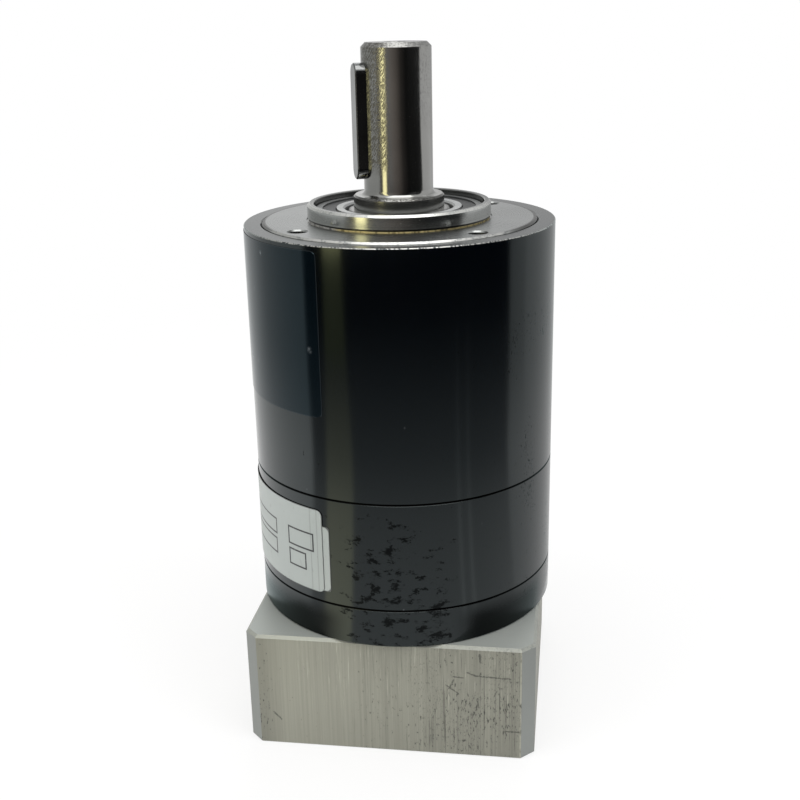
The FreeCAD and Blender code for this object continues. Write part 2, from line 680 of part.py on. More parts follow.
def housing_sections():
    """The black cylindrical body: adapter, input ring gear and output housing, stacked on spigots."""
    bevel = "Sizes.joint_bevel"
    groove = f"({INPUT_OUTER} + Sizes.clip_groove_depth)"
    input_clip_top = f"({ADAPTER_TOP} + Sizes.input_clip_thickness)"
    adapter = turned(
        "adapter_blank",
        [
            (f"{INPUT_OUTER} - Sizes.bearing_lip", FLANGE_TOP),
            (f"{BODY} - {bevel}", FLANGE_TOP),
            (BODY, f"{FLANGE_TOP} + {bevel}"),
            (BODY, f"{ADAPTER_TOP} - {bevel}"),
            (f"{BODY} - {bevel}", ADAPTER_TOP),
            (SPIGOT, ADAPTER_TOP),
            (SPIGOT, BOSS_TOP),
            (INPUT_OUTER, BOSS_TOP),
            (INPUT_OUTER, input_clip_top),
            (groove, input_clip_top),
            (groove, ADAPTER_TOP),
            (INPUT_OUTER, ADAPTER_TOP),
            (INPUT_OUTER, INPUT_BEARING),
            (f"{INPUT_OUTER} - Sizes.bearing_lip", INPUT_BEARING),
        ],
    )
    screw_hole = "Sizes.body_screw_hole / 2"
    first = "180 / Sizes.body_screw_count"
    count = "Sizes.body_screw_count"
    drill(
        adapter, "adapter_screw_holes", SCREW_CIRCLE, first, count,
        FLANGE_TOP, screw_hole, f"{ADAPTER_TOP} - {FLANGE_TOP}",
    )
    drill(
        adapter, "adapter_head_pockets", SCREW_CIRCLE, first, count,
        FLANGE_TOP, HEAD_POCKET, "Sizes.body_head_height + Sizes.body_head_sink",
    )
    drill(
        adapter, "adapter_tapped_holes", FLANGE_SCREWS, "0", "Sizes.flange_screw_count",
        FLANGE_TOP, "Sizes.flange_screw_diameter / 2", "Sizes.flange_screw_grip",
    )
    keep("input_flange", adapter)

    ring_floor = f"({BOSS_TOP} + Sizes.spigot_end_gap)"
    spigot_top = f"({RING_TOP} + Sizes.spigot_height)"
    ring = turned(
        "ring_blank",
        [
            (f"{SPIGOT} + {SEAL_SEAT}", ADAPTER_TOP),
            (f"{BODY} - {bevel}", ADAPTER_TOP),
            (BODY, f"{ADAPTER_TOP} + {bevel}"),
            (BODY, f"{RING_TOP} - {bevel}"),
            (f"{BODY} - {bevel}", RING_TOP),
            (SPIGOT, RING_TOP),
            (SPIGOT, spigot_top),
            (RING_TIP, spigot_top),
            (RING_TIP, ring_floor),
            (SPIGOT, ring_floor),
            (SPIGOT, f"{ADAPTER_TOP} + {SEAL_SEAT}"),
        ],
    )
    drill(
        ring, "ring_screw_holes", SCREW_CIRCLE, first, count,
        ADAPTER_TOP, screw_hole, f"{RING_TOP} - {ADAPTER_TOP}",
    )
    spaces = toothed("ring_spaces", space_outline, ring_floor, f"{spigot_top} - {ring_floor}")
    keep("input_ring_gear", combine("Cut", "ring_cut", ring, spaces))

    rear_groove = f"({REAR_OUTER} + Sizes.clip_groove_depth)"
    rear_clip_top = f"({REAR_BEARING_TOP} + Sizes.rear_clip_thickness)"
    runout = f"({RING_ROOT} + Sizes.runout_depth)"
    housing = turned(
        "housing_blank",
        [
            (f"{SPIGOT} + {SEAL_SEAT}", RING_TOP),
            (f"{BODY} - {bevel}", RING_TOP),
            (BODY, f"{RING_TOP} + {bevel}"),
            (BODY, f"{BODY_TOP} - Sizes.top_bevel"),
            (f"{BODY} - Sizes.top_bevel", BODY_TOP),
            (f"{COVER} + Sizes.cover_bevel", BODY_TOP),
            (COVER, f"{BODY_TOP} - Sizes.cover_bevel"),
            (COVER, COVER_SEAT),
            (REAR_OUTER, COVER_SEAT),
            (REAR_OUTER, rear_clip_top),
            (rear_groove, rear_clip_top),
            (rear_groove, REAR_BEARING_TOP),
            (REAR_OUTER, REAR_BEARING_TOP),
            (REAR_OUTER, REAR_BEARING),
            (f"{REAR_OUTER} - Sizes.bearing_lip", REAR_BEARING),
            (f"{REAR_OUTER} - Sizes.bearing_lip", REAR_LIP),
            (runout, REAR_LIP),
            (runout, TEETH_END),
            (RING_TIP, TEETH_END),
            (RING_TIP, TEETH_START),
            (SPIGOT, TEETH_START),
            (SPIGOT, f"{RING_TOP} + {SEAL_SEAT}"),
        ],
    )
    drill(
        housing, "housing_tapped_holes", SCREW_CIRCLE, first, count,
        RING_TOP, "Sizes.body_screw_diameter / 2", "Sizes.body_screw_grip",
    )
    spaces = toothed("housing_spaces", space_outline, TEETH_START, f"{TEETH_END} - {TEETH_START}")
    keep("output_housing", combine("Cut", "housing_cut", housing, spaces))

    seals = doc.addObject("Part::Compound", "seal_pair")
    links = []
    for index, height in enumerate((ADAPTER_TOP, RING_TOP)):
        seal = doc.addObject("Part::Torus", f"seal_{index}")
        bind(seal, Radius1=f"{SPIGOT} + Sizes.seal_section / 2", Radius2="Sizes.seal_section / 2")
        seal.setExpression("Placement.Base.z", f"{height} + Sizes.seal_section / 2")
        links.append(seal)
    seals.Links = links
    keep("o_rings", seals)


def front_cover():
    """Steel cover in the housing's mouth, with the centring pilot and the fixing holes."""
    lip = f"({FRONT_OUTER} - Sizes.bearing_lip)"
    undercut = f"({PILOT} - Sizes.pilot_undercut_depth)"
    undercut_top = f"({COVER_TOP} + Sizes.pilot_undercut_width)"
    relief = f"({PILOT} + Sizes.face_relief)"
    relief_floor = f"({COVER_TOP} - Sizes.face_relief)"
    cover = turned(
        "cover_body",
        [
            (lip, COVER_SEAT),
            (COVER, COVER_SEAT),
            (COVER, f"{COVER_TOP} - Sizes.cover_bevel"),
            (f"{COVER} - Sizes.cover_bevel", COVER_TOP),
            (relief, COVER_TOP),
            (relief, relief_floor),
            (undercut, relief_floor),
            (undercut, undercut_top),
            (PILOT, undercut_top),
            (PILOT, f"{PILOT_TOP} - Sizes.pilot_bevel"),
            (f"{PILOT} - Sizes.pilot_bevel", PILOT_TOP),
            (f"{FRONT_OUTER} + Sizes.pilot_bore_bevel", PILOT_TOP),
            (FRONT_OUTER, f"{PILOT_TOP} - Sizes.pilot_bore_bevel"),
            (FRONT_OUTER, FRONT_BEARING),
            (lip, FRONT_BEARING),
        ],
    )
    first = "180 / Sizes.cover_hole_count"
    x, y = on_circle(COVER_HOLES, first)
    hole = solid(
        cover, "SubtractiveCylinder", "cover_hole", x, y, f"{COVER_TOP} - Sizes.cover_hole_depth",
        Radius="Sizes.cover_hole_diameter / 2", Height="Sizes.cover_hole_depth",
    )
    mouth = solid(
        cover, "SubtractiveCone", "cover_hole_mouth", x, y, f"{COVER_TOP} - Sizes.cover_hole_bevel",
        Radius1="Sizes.cover_hole_diameter / 2", Height="Sizes.cover_hole_bevel",
        Radius2="Sizes.cover_hole_diameter / 2 + Sizes.cover_hole_bevel",
    )
    around(cover, "cover_holes", [hole, mouth], "Sizes.cover_hole_count")
    keep("front_cover", cover)


def key_block(name, bed, height):
    """Round-ended bar along the shaft: bed is its underside's distance from the shaft's axis."""
    body = new_body(name)
    straight = f"({KEY_LENGTH} - Sizes.key_width)"
    solid(
        body, "AdditiveBox", name + "_bar", f"-{straight} / 2", "-Sizes.key_width / 2", bed,
        Length=straight, Width="Sizes.key_width", Height=height,
    )
    for end, sign in (("low", "-"), ("high", "")):
        solid(
            body, "AdditiveCylinder", f"{name}_{end}_end", f"{sign}{straight} / 2", "0", bed,
            Radius="Sizes.key_width / 2", Height=height,
        )
    upright = FreeCAD.Rotation(FreeCAD.Vector(0, 1, 0), -90)
    facing = FreeCAD.Rotation(UPWARD, number("Sizes.key_angle") - 180)
    body.Placement = FreeCAD.Placement(FreeCAD.Vector(), facing * upright)
    body.setExpression("Placement.Base.z", f"{SHOULDER_TOP} + Sizes.key_foot_gap + {KEY_LENGTH} / 2")
    doc.recompute()
    return body


def output_shaft():
    """Output shaft in one piece with the disc that carries the output planets."""
    hole = "(Sizes.centre_hole_diameter / 2)"
    seat_end = f"({FRONT_BEARING_TOP} - Sizes.front_seat_drop)"
    collar = f"({REAR_SEAT} + Sizes.rear_collar_step)"
    shaft = turned(
        "shaft_body",
        [
            ("0", OUTPUT_CARRIER),
            (CARRIER, OUTPUT_CARRIER),
            (CARRIER, OUTPUT_CARRIER_TOP),
            (collar, OUTPUT_CARRIER_TOP),
            (collar, REAR_BEARING),
            (REAR_SEAT, REAR_BEARING),
            (REAR_SEAT, REAR_BEARING_TOP),
            (FRONT_SEAT, REAR_BEARING_TOP),
            (FRONT_SEAT, f"{seat_end} - Sizes.front_seat_bevel"),
            (f"{FRONT_SEAT} - Sizes.front_seat_bevel", seat_end),
            (SHOULDER, seat_end),
            (SHOULDER, f"{SHOULDER_TOP} - Sizes.shoulder_bevel"),
            (f"{SHOULDER} - Sizes.shoulder_bevel", SHOULDER_TOP),
            (SHAFT, SHOULDER_TOP),
            (SHAFT, f"{SHAFT_END} - Sizes.shaft_bevel"),
            (f"{SHAFT} - Sizes.shaft_bevel", SHAFT_END),
            (f"{hole} + Sizes.centre_hole_bevel", SHAFT_END),
            (hole, f"{SHAFT_END} - Sizes.centre_hole_bevel"),
            (hole, f"{SHAFT_END} - Sizes.centre_hole_depth"),
            ("0", f"{SHAFT_END} - Sizes.centre_hole_depth"),
        ],
    )
    foot, foot_radius = number(SHOULDER_TOP), number(SHAFT)
    room = f"(Sizes.shoulder_step - Sizes.shoulder_bevel) * {FILLET_SHARE}"
    dress(
        shaft, "Fillet", "shoulder_fillet",
        lambda edge: level(edge, foot) and abs(edge.BoundBox.XMax - foot_radius) < EQUAL,
        "Radius", f"min(Sizes.shoulder_fillet; {room})",
    )
    at_planets(shaft, "output_pin_hole", [("Subtractive", OUTPUT_CARRIER, PIN, "Sizes.carrier_thickness")])
    bed = f"({SHAFT} - Sizes.key_bed)"
    keyway = key_block("keyway", bed, "Sizes.key_bed + Sizes.key_height")
    keep("output_shaft", combine("Cut", "shaft_cut", shaft, keyway))
    key = key_block("key_bar", bed, "Sizes.key_height")
    top = number(bed) + number("Sizes.key_height")
    dress(key, "Chamfer", "key_edges", lambda edge: level(edge, top), "Size", "Sizes.key_bevel")
    keep("shaft_key", key)


def planet_stage(stage, pin_end, clips, washers, planets, width, carrier, carrier_top):
    """Pins, clips, washers, planet gears and needle rollers of one stage."""
    thin = "Sizes.pin_clip_thickness"
    core = f"({PIN} - Sizes.pin_clip_groove)"
    pins = new_body(stage + "_pin_set")
    at_planets(pins, stage + "_pin", [
        ("Additive", pin_end, PIN, f"{carrier_top} - {pin_end}"),
        ("Subtractive", clips, f"{PIN} + Sizes.pin_clip_groove", thin),
        ("Additive", clips, core, thin),
    ])
    keep(stage + "_planet_pins", pins)

    rings = new_body(stage + "_clip_set")
    at_planets(rings, stage + "_clip", [
        ("Additive", clips, f"{core} + Sizes.pin_clip_width", thin),
        ("Subtractive", clips, core, thin),
    ])
    keep(stage + "_pin_clips", rings)

    discs = new_body(stage + "_washer_set")
    at_planets(discs, stage + "_washer", [
        ("Additive", washers, WASHER, "Sizes.washer_thickness"),
        ("Additive", f"({carrier} - Sizes.washer_thickness)", WASHER, "Sizes.washer_thickness"),
        ("Subtractive", washers, PIN, f"{carrier} - {washers}"),
    ])
    keep(stage + "_planet_washers", discs)

    spacing = number("Sizes.needle_diameter") + number("Sizes.needle_side_gap")
    half_step = math.asin(spacing / (2 * number(NEEDLE_CIRCLE)))
    needles = str(int(math.pi / half_step))
    rolling = 1 - TEETH["ring"] / TEETH["planet"]
    for planet, angle in enumerate(PLANET_ANGLES, 1):
        turn = rolling * (angle - FIRST_PLANET)
        x, y = on_circle(PLANET_CIRCLE, angle)
        name = f"{stage}_planet_{planet}"
        blank = toothed(name + "_teeth", planet_outline, "0", width)
        gear = combine("Cut", name + "_cut", blank, cylinder(name + "_bore", PLANET_BORE, width))
        keep(name, placed(gear, UPWARD, turn, x, y, planets))
        rollers = new_body(name + "_rollers")
        roller = solid(
            rollers, "AdditiveCylinder", name + "_roller", NEEDLE_CIRCLE, "0", "Sizes.needle_end_gap",
            Radius=NEEDLE, Height=f"{width} - 2 * Sizes.needle_end_gap",
        )
        around(rollers, name + "_roller_ring", [roller], needles)
        keep(f"{stage}_needles_{planet}", placed(rollers, UPWARD, angle, x, y, planets))


def input_carrier():
    """Disc of the input stage, with the output stage's sun gear pressed into it."""
    shank = "(Sizes.sun_shank_diameter / 2)"
    disc = turned(
        "input_disc",
        [
            (shank, INPUT_CARRIER),
            (CARRIER, INPUT_CARRIER),
            (CARRIER, INPUT_CARRIER_TOP),
            (shank, INPUT_CARRIER_TOP),
        ],
    )
    at_planets(disc, "input_pin_hole", [("Subtractive", INPUT_CARRIER, PIN, "Sizes.carrier_thickness")])
    keep("input_carrier", disc)
    collar_top = f"({INPUT_CARRIER_TOP} + Sizes.sun_collar)"
    stem = turned(
        "output_sun_stem",
        [
            ("0", INPUT_CARRIER),
            (shank, INPUT_CARRIER),
            (shank, INPUT_CARRIER_TOP),
            (SUN_TIP, INPUT_CARRIER_TOP),
            (SUN_TIP, collar_top),
            ("0", collar_top),
        ],
    )
    height = f"{OUTPUT_CARRIER} - Sizes.sun_end_gap - {collar_top}"
    teeth = toothed("output_sun_teeth", sun_outline, collar_top, height)
    keep("output_sun", combine("Fuse", "output_sun_join", stem, teeth))


def input_hub():
    """Input sun gear in one piece with the slotted hub that takes the motor's shaft."""
    shoulder = f"({JOURNAL} + Sizes.hub_shoulder_step)"
    clip_top = f"({ADAPTER_TOP} + Sizes.journal_clip_thickness)"
    groove = f"({JOURNAL} - Sizes.clip_groove_depth)"
    bore_top = f"({BOSS_TOP} - Sizes.hub_roof)"
    hub = turned(
        "hub_body",
        [
            (MOTOR_BORE, HUB_FLOOR),
            (HUB, HUB_FLOOR),
            (HUB, FLANGE_TOP),
            (shoulder, FLANGE_TOP),
            (shoulder, INPUT_BEARING),
            (JOURNAL, INPUT_BEARING),
            (JOURNAL, ADAPTER_TOP),
            (groove, ADAPTER_TOP),
            (groove, clip_top),
            (JOURNAL, clip_top),
            (JOURNAL, BOSS_TOP),
            ("0", BOSS_TOP),
            ("0", bore_top),
            (MOTOR_BORE, bore_top),
        ],
    )
    slit = solid(
        hub, "SubtractiveBox", "hub_slit", "0", "-Sizes.hub_slit_width / 2", HUB_FLOOR,
        Length=shoulder, Width="Sizes.hub_slit_width", Height="Sizes.hub_slit_length",
    )
    around(hub, "hub_slits", [slit], "Sizes.hub_slit_count")
    height = f"{INPUT_CARRIER} - Sizes.sun_end_gap - {BOSS_TOP}"
    teeth = toothed("input_sun_teeth", sun_outline, BOSS_TOP, height)
    keep("input_sun", combine("Fuse", "input_sun_join", hub, teeth))
    ear_circle = f"{JOURNAL} + Sizes.clip_width / 2"
    circlip(
        "input_shaft_circlip", groove, f"{groove} + Sizes.clip_width", ADAPTER_TOP,
        "Sizes.journal_clip_thickness", ear_circle, HUB_CLIP_TURN,
    )


def cap_screw(name, diameter, length, head, head_height):
    """Socket head screw along its own Z axis, with the head's underside at the origin."""
    body = new_body(name)
    solid(body, "AdditiveCylinder", name + "_head", Radius=f"{head} / 2", Height=head_height)
    solid(
        body, "AdditiveCylinder", name + "_shank", z=f"-({length})",
        Radius=f"{diameter} / 2", Height=length,
    )
    solid(
        body, "SubtractivePrism", name + "_socket", z=f"{head_height} / 2", Polygon="6",
        Circumradius=f"{head} * Sizes.socket_share / 2 * {HEXAGON}", Height=f"{head_height} / 2",
    )
    return body


def clamp_set():
    """Slit collar that closes the hub on the motor's shaft, and its tangential screw."""
    top = f"({COLLAR_FLOOR} + Sizes.collar_height)"
    ring = turned(
        "collar_ring",
        [(HUB, COLLAR_FLOOR), (COLLAR, COLLAR_FLOOR), (COLLAR, top), (HUB, top)],
    )
    solid(
        ring, "SubtractiveBox", "collar_slit", "0", "-Sizes.collar_slit / 2", COLLAR_FLOOR,
        Length=COLLAR, Width="Sizes.collar_slit", Height="Sizes.collar_height",
    )
    hole = cylinder("clamp_hole", "Sizes.clamp_screw_diameter / 2", f"Sizes.clamp_screw_reach + {COLLAR}")
    placed(hole, SIDEWAYS, -90, CLAMP_OFFSET, "-Sizes.clamp_screw_reach", CLAMP_HEIGHT)
    seat = cylinder("clamp_seat", "Sizes.clamp_head_diameter / 2 + Sizes.clamp_head_gap", COLLAR)
    placed(seat, SIDEWAYS, -90, CLAMP_OFFSET, "Sizes.clamp_head_seat", CLAMP_HEIGHT)
    tools = combine("Fuse", "clamp_tools", hole, seat)
    keep("clamp_collar", combine("Cut", "collar_cut", ring, tools))
    screw = cap_screw(
        "clamp_cap", "Sizes.clamp_screw_diameter", "(Sizes.clamp_head_seat + Sizes.clamp_screw_reach)",
        "Sizes.clamp_head_diameter", "Sizes.clamp_head_height",
    )
    keep(
        "clamp_screw",
        placed(screw, SIDEWAYS, -90, CLAMP_OFFSET, "Sizes.clamp_head_seat", CLAMP_HEIGHT),
    )


def motor_flange():
    """Square aluminium flange with the motor's recess, its bolt holes and the clamp's access hole."""
    flange = new_body("flange_body")
    half = "Sizes.flange_side / 2"
    solid(
        flange, "AdditiveBox", "flange_block", f"-{half}", f"-{half}", "0",
        Length="Sizes.flange_side", Width="Sizes.flange_side", Height=FLANGE_TOP,
    )
    dress(flange, "Chamfer", "flange_corners", lambda edge: along(edge, "z"), "Size", "Sizes.flange_corner")
    top = number(FLANGE_TOP)
    dress(flange, "Chamfer", "flange_edges", lambda edge: level(edge, top), "Size", "Sizes.flange_bevel")
    dress(flange, "Chamfer", "flange_foot", lambda edge: level(edge, 0), "Size", "Sizes.flange_foot_bevel")
    solid(
        flange, "SubtractiveCylinder", "motor_recess",
        Radius="Sizes.motor_pilot_diameter / 2", Height="Sizes.motor_pilot_depth",
    )
    solid(flange, "SubtractiveCylinder", "hub_bore", Radius=FLANGE_BORE, Height=FLANGE_TOP)
    drill(
        flange, "flange_screw_holes", FLANGE_SCREWS, "0", "Sizes.flange_screw_count",
        "0", "Sizes.flange_screw_hole / 2", FLANGE_TOP,
    )
    drill(
        flange, "flange_head_pockets", FLANGE_SCREWS, "0", "Sizes.flange_screw_count",
        "0", FLANGE_HEAD_POCKET,
        "Sizes.motor_pilot_depth + Sizes.flange_head_sink + Sizes.flange_head_height",
    )
    drill(
        flange, "motor_bolt_holes", "Sizes.motor_hole_circle / 2", "180 / Sizes.motor_hole_count",
        "Sizes.motor_hole_count", "0", "Sizes.motor_hole_diameter / 2", "Sizes.motor_hole_depth",
    )
    shank = cylinder("access_hole", "Sizes.access_hole_diameter / 2", half)
    placed(shank, SIDEWAYS, -90, CLAMP_OFFSET, "0", CLAMP_HEIGHT)
    mouth = cylinder("access_mouth", "Sizes.plug_head_diameter / 2", "Sizes.plug_head_thickness")
    placed(mouth, SIDEWAYS, -90, CLAMP_OFFSET, f"{half} - Sizes.plug_head_thickness", CLAMP_HEIGHT)
    access = combine("Fuse", "access_tools", shank, mouth)
    keep("motor_flange", combine("Cut", "flange_cut", flange, access))
    plug = new_body("plug_body")
    solid(
        plug, "AdditiveCylinder", "plug_head", z="-Sizes.plug_head_thickness",
        Radius="Sizes.plug_head_diameter / 2", Height="Sizes.plug_head_thickness",
    )
    solid(
        plug, "AdditiveCylinder", "plug_shank", z="-Sizes.plug_length",
        Radius="Sizes.access_hole_diameter / 2", Height="Sizes.plug_length",
    )
    keep("access_plug", placed(plug, SIDEWAYS, -90, CLAMP_OFFSET, half, CLAMP_HEIGHT))


def screw_ring(name, circle, angle, count, head_floor, diameter, reach, head, head_height):
    """Ring of socket head screws, heads down, their shanks reach high above the heads."""
    x, y = on_circle(circle, angle)
    screws = new_body(name + "_set")
    caps = solid(
        screws, "AdditiveCylinder", name + "_head", x, y, head_floor,
        Radius=f"{head} / 2", Height=head_height,
    )
    shanks = solid(
        screws, "AdditiveCylinder", name + "_shank", x, y, f"{head_floor} + {head_height}",
        Radius=f"{diameter} / 2", Height=reach,
    )
    sockets = solid(
        screws, "SubtractivePrism", name + "_socket", x, y, head_floor, Polygon="6",
        Circumradius=f"{head} * Sizes.socket_share / 2 * {HEXAGON}", Height=f"{head_height} / 2",
    )
    around(screws, name + "_ring", [caps, shanks, sockets], count)
    keep(name, screws)


def screws():
    """Screws that clamp the body's sections together and the motor flange to the adapter."""
    head_floor = f"({FLANGE_TOP} + Sizes.body_head_sink)"
    screw_ring(
        "body_screws", SCREW_CIRCLE, "180 / Sizes.body_screw_count", "Sizes.body_screw_count", head_floor,
        "Sizes.body_screw_diameter",
        f"{RING_TOP} + Sizes.body_screw_grip - {head_floor} - Sizes.body_head_height",
        "Sizes.body_head_diameter", "Sizes.body_head_height",
    )
    head_floor = "(Sizes.motor_pilot_depth + Sizes.flange_head_sink)"
    screw_ring(
        "flange_screws", FLANGE_SCREWS, "0", "Sizes.flange_screw_count", head_floor,
        "Sizes.flange_screw_diameter",
        f"{FLANGE_TOP} + Sizes.flange_screw_grip - {head_floor} - Sizes.flange_head_height",
        "Sizes.flange_head_diameter", "Sizes.flange_head_height",
    )


def foil_label(name, layer, edge_angle, width, floor, height, corner):
    """Rectangular foil with rounded corners, lying on the body's cylinder."""
    inside = f"({BODY} + Sizes.glue + {layer} * (Sizes.foil + Sizes.glue))"
    skin = combine(
        "Cut", name + "_skin",
        cylinder(name + "_outside", f"{inside} + Sizes.foil", height, floor),
        cylinder(name + "_inside", inside, height, floor),
    )
    stamp = new_body(name + "_stamp")
    solid(
        stamp, "AdditiveBox", name + "_block", "0", f"-{width} / 2", floor,
        Length=f"{inside} + Sizes.foil", Width=width, Height=height,
    )
    dress(stamp, "Fillet", name + "_corners", lambda edge: along(edge, "x"), "Radius", corner)
    placed(stamp, UPWARD, number(edge_angle))
    stamp.setExpression("Placement.Rotation.Angle", f"{edge_angle} * 1 deg - asin({width} / 2 / {inside})")
    doc.recompute()
    keep(name, combine("Common", name + "_cut", skin, stamp))


def labels():
    """Blank foils: a dark one on the output housing and two overlapping light ones on the ring gear."""
    sticker_floor = f"({BODY_TOP} - Sizes.sticker_top_gap - Sizes.sticker_height)"
    foil_label(
        "side_sticker", 0, "Sizes.sticker_edge_angle", "Sizes.sticker_width", sticker_floor,
        "Sizes.sticker_height", "Sizes.sticker_corner",
    )
    under_floor = f"({ADAPTER_TOP} + Sizes.under_floor_gap)"
    foil_label(
        "rating_plate_under", 0, "Sizes.under_edge_angle", "Sizes.under_width", under_floor,
        "Sizes.under_height", "Sizes.under_corner",
    )
    plate_floor = f"({ADAPTER_TOP} + Sizes.plate_floor_gap)"
    foil_label(
        "rating_plate", 1, "Sizes.plate_edge_angle", "Sizes.plate_width", plate_floor,
        "Sizes.plate_height", "Sizes.plate_corner",
    )


def bearings():
    """Output shaft on a free front bearing and a rear one held by its circlip, input hub on one bearing."""
    lands = ball_bearing(
        "front_bearing", FRONT_SEAT, FRONT_OUTER, FRONT_BEARING,
        "Sizes.front_bearing_width", "Sizes.front_ball_diameter",
    )
    bearing_shields("front_bearing_shields", lands, FRONT_BEARING, "Sizes.front_bearing_width")
    ball_bearing(
        "rear_bearing", REAR_SEAT, REAR_OUTER, REAR_BEARING,
        "Sizes.rear_bearing_width", "Sizes.rear_ball_diameter",
    )
    lands = ball_bearing(
        "input_bearing", JOURNAL, INPUT_OUTER, INPUT_BEARING,
        "Sizes.input_bearing_width", "Sizes.input_ball_diameter",
    )
    bearing_shields("input_bearing_shields", lands, INPUT_BEARING, "Sizes.input_bearing_width")
    for name, outer, floor, thickness in (
        ("rear_bearing_circlip", REAR_OUTER, REAR_BEARING_TOP, "Sizes.rear_clip_thickness"),
        ("input_bearing_circlip", INPUT_OUTER, ADAPTER_TOP, "Sizes.input_clip_thickness"),
    ):
        groove = f"({outer} + Sizes.clip_groove_depth)"
        inner = f"({outer} - Sizes.clip_width)"
        ears = f"{outer} - Sizes.clip_ear_diameter / 2"
        circlip(name, inner, groove, floor, thickness, ears, BORE_CLIP_TURN)
    spacer = f"({FRONT_SEAT} + Sizes.spacer_wall)"
    keep(
        "bearing_spacer",
        turned(
            "spacer_ring",
            [
                (FRONT_SEAT, REAR_BEARING_TOP),
                (spacer, REAR_BEARING_TOP),
                (spacer, FRONT_BEARING),
                (FRONT_SEAT, FRONT_BEARING),
            ],
        ),
    )


def build():
    motor_flange()
    housing_sections()
    front_cover()
    output_shaft()
    bearings()
    planet_stage(
        "output", OUTPUT_PIN_END, OUTPUT_CLIPS, OUTPUT_WASHERS, OUTPUT_PLANETS,
        "Sizes.output_planet_width", OUTPUT_CARRIER, OUTPUT_CARRIER_TOP,
    )
    input_carrier()
    planet_stage(
        "input", INPUT_PIN_END, INPUT_CLIPS, INPUT_WASHERS, INPUT_PLANETS,
        "Sizes.input_planet_width", INPUT_CARRIER, INPUT_CARRIER_TOP,
    )
    input_hub()
    clamp_set()
    screws()
    labels()
    doc.recompute()


def write_parts():
    """Check every object, then write each sub-part's solids."""
    for item in doc.Objects:
        if "Invalid" in item.State or "Error" in item.State:
            raise RuntimeError(f"{item.Label} failed: {item.State}")
    for name, piece in nodes.items():
        if piece.Shape.isNull() or not piece.Shape.isValid() or not piece.Shape.Solids:
            raise RuntimeError(f"{name} has no valid solid")
    os.makedirs("parts", exist_ok=True)
    for name, piece in nodes.items():
        piece.Shape.exportStep(f"parts/{name}.step")
        print(f"{name}: {len(piece.Shape.Solids)} solids, {piece.Shape.Volume:.2f} mm3")


build()
write_parts()
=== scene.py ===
"""Looks of a two-stage planetary gearbox: finishes for every piece, and a plain studio around it."""

import json
import math
from typing import NamedTuple

import bmesh
import bpy
from bpy.props import FloatProperty, FloatVectorProperty, PointerProperty
from bpy.types import Operator, Panel, PropertyGroup
from mathutils import Matrix, Vector


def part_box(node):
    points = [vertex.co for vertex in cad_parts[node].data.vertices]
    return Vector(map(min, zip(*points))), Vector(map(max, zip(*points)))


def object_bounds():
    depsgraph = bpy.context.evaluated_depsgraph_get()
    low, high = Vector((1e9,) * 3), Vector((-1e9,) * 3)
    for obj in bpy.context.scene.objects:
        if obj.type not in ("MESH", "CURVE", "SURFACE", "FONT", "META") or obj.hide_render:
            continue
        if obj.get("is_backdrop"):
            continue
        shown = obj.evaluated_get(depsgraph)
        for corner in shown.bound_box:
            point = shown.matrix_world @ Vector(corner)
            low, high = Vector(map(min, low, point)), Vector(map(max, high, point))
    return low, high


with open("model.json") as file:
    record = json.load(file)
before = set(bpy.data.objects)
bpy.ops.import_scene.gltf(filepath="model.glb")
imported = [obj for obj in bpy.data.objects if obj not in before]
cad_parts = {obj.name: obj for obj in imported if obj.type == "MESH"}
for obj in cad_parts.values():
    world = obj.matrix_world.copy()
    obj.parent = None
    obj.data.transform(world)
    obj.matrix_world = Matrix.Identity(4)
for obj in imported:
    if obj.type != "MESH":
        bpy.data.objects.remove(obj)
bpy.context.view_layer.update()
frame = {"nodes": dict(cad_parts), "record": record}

bl_info = {
    "name": "Planetary Gearbox",
    "version": (1, 0, 0),
    "blender": (4, 5, 0),
    "location": "View3D > Sidebar > Gearbox",
    "description": "Finishes and a studio for a planetary gearbox",
    "category": "Object",
}

MILLIMETRES = 1000.0
FULL_TURN = 360.0
BODY_SECTIONS = ("input_flange", "input_ring_gear", "output_housing")


def top_of(node):
    """Height of a CAD node's top in millimetres."""
    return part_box(node)[1].z * MILLIMETRES


def floor_of(node):
    """Height of a CAD node's underside in millimetres."""
    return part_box(node)[0].z * MILLIMETRES


def reach_of(node):
    """Largest distance of a round CAD node from the Z axis in millimetres."""
    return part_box(node)[1].x * MILLIMETRES


def turn_of(node):
    """First and last angle about Z that a CAD node covers, in degrees from 0 to 360."""
    points = [vertex.co for vertex in frame["nodes"][node].data.vertices]
    turns = [math.degrees(math.atan2(point.y, point.x)) % FULL_TURN for point in points]
    return min(turns), max(turns)


def mount_named(name):
    """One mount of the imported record."""
    return next(mount for mount in frame["record"]["mounts"] if mount["name"] == name)


def at(place, offsets):
    """Places that lie so many millimetres past a given one."""
    return [place + offset for offset in offsets]


class Span(NamedTuple):
    """A stretch of a coordinate that fades out over soft at both ends."""

    low: float
    high: float
    soft: float

    def past(self, place):
        """The same span, counted from a place."""
        return Span(place + self.low, place + self.high, self.soft)


def shade(rgb, factor):
    """A colour made lighter or darker."""
    return tuple(min(1.0, channel * factor) for channel in rgb)


def grey(level):
    """A colour without a tint."""
    return (level, level, level)


def colour(name, red, green, blue, description):
    """A colour that a user can change."""
    return FloatVectorProperty(
        name=name, description=description, default=(red, green, blue), subtype="COLOR", min=0.0, max=1.0
    )


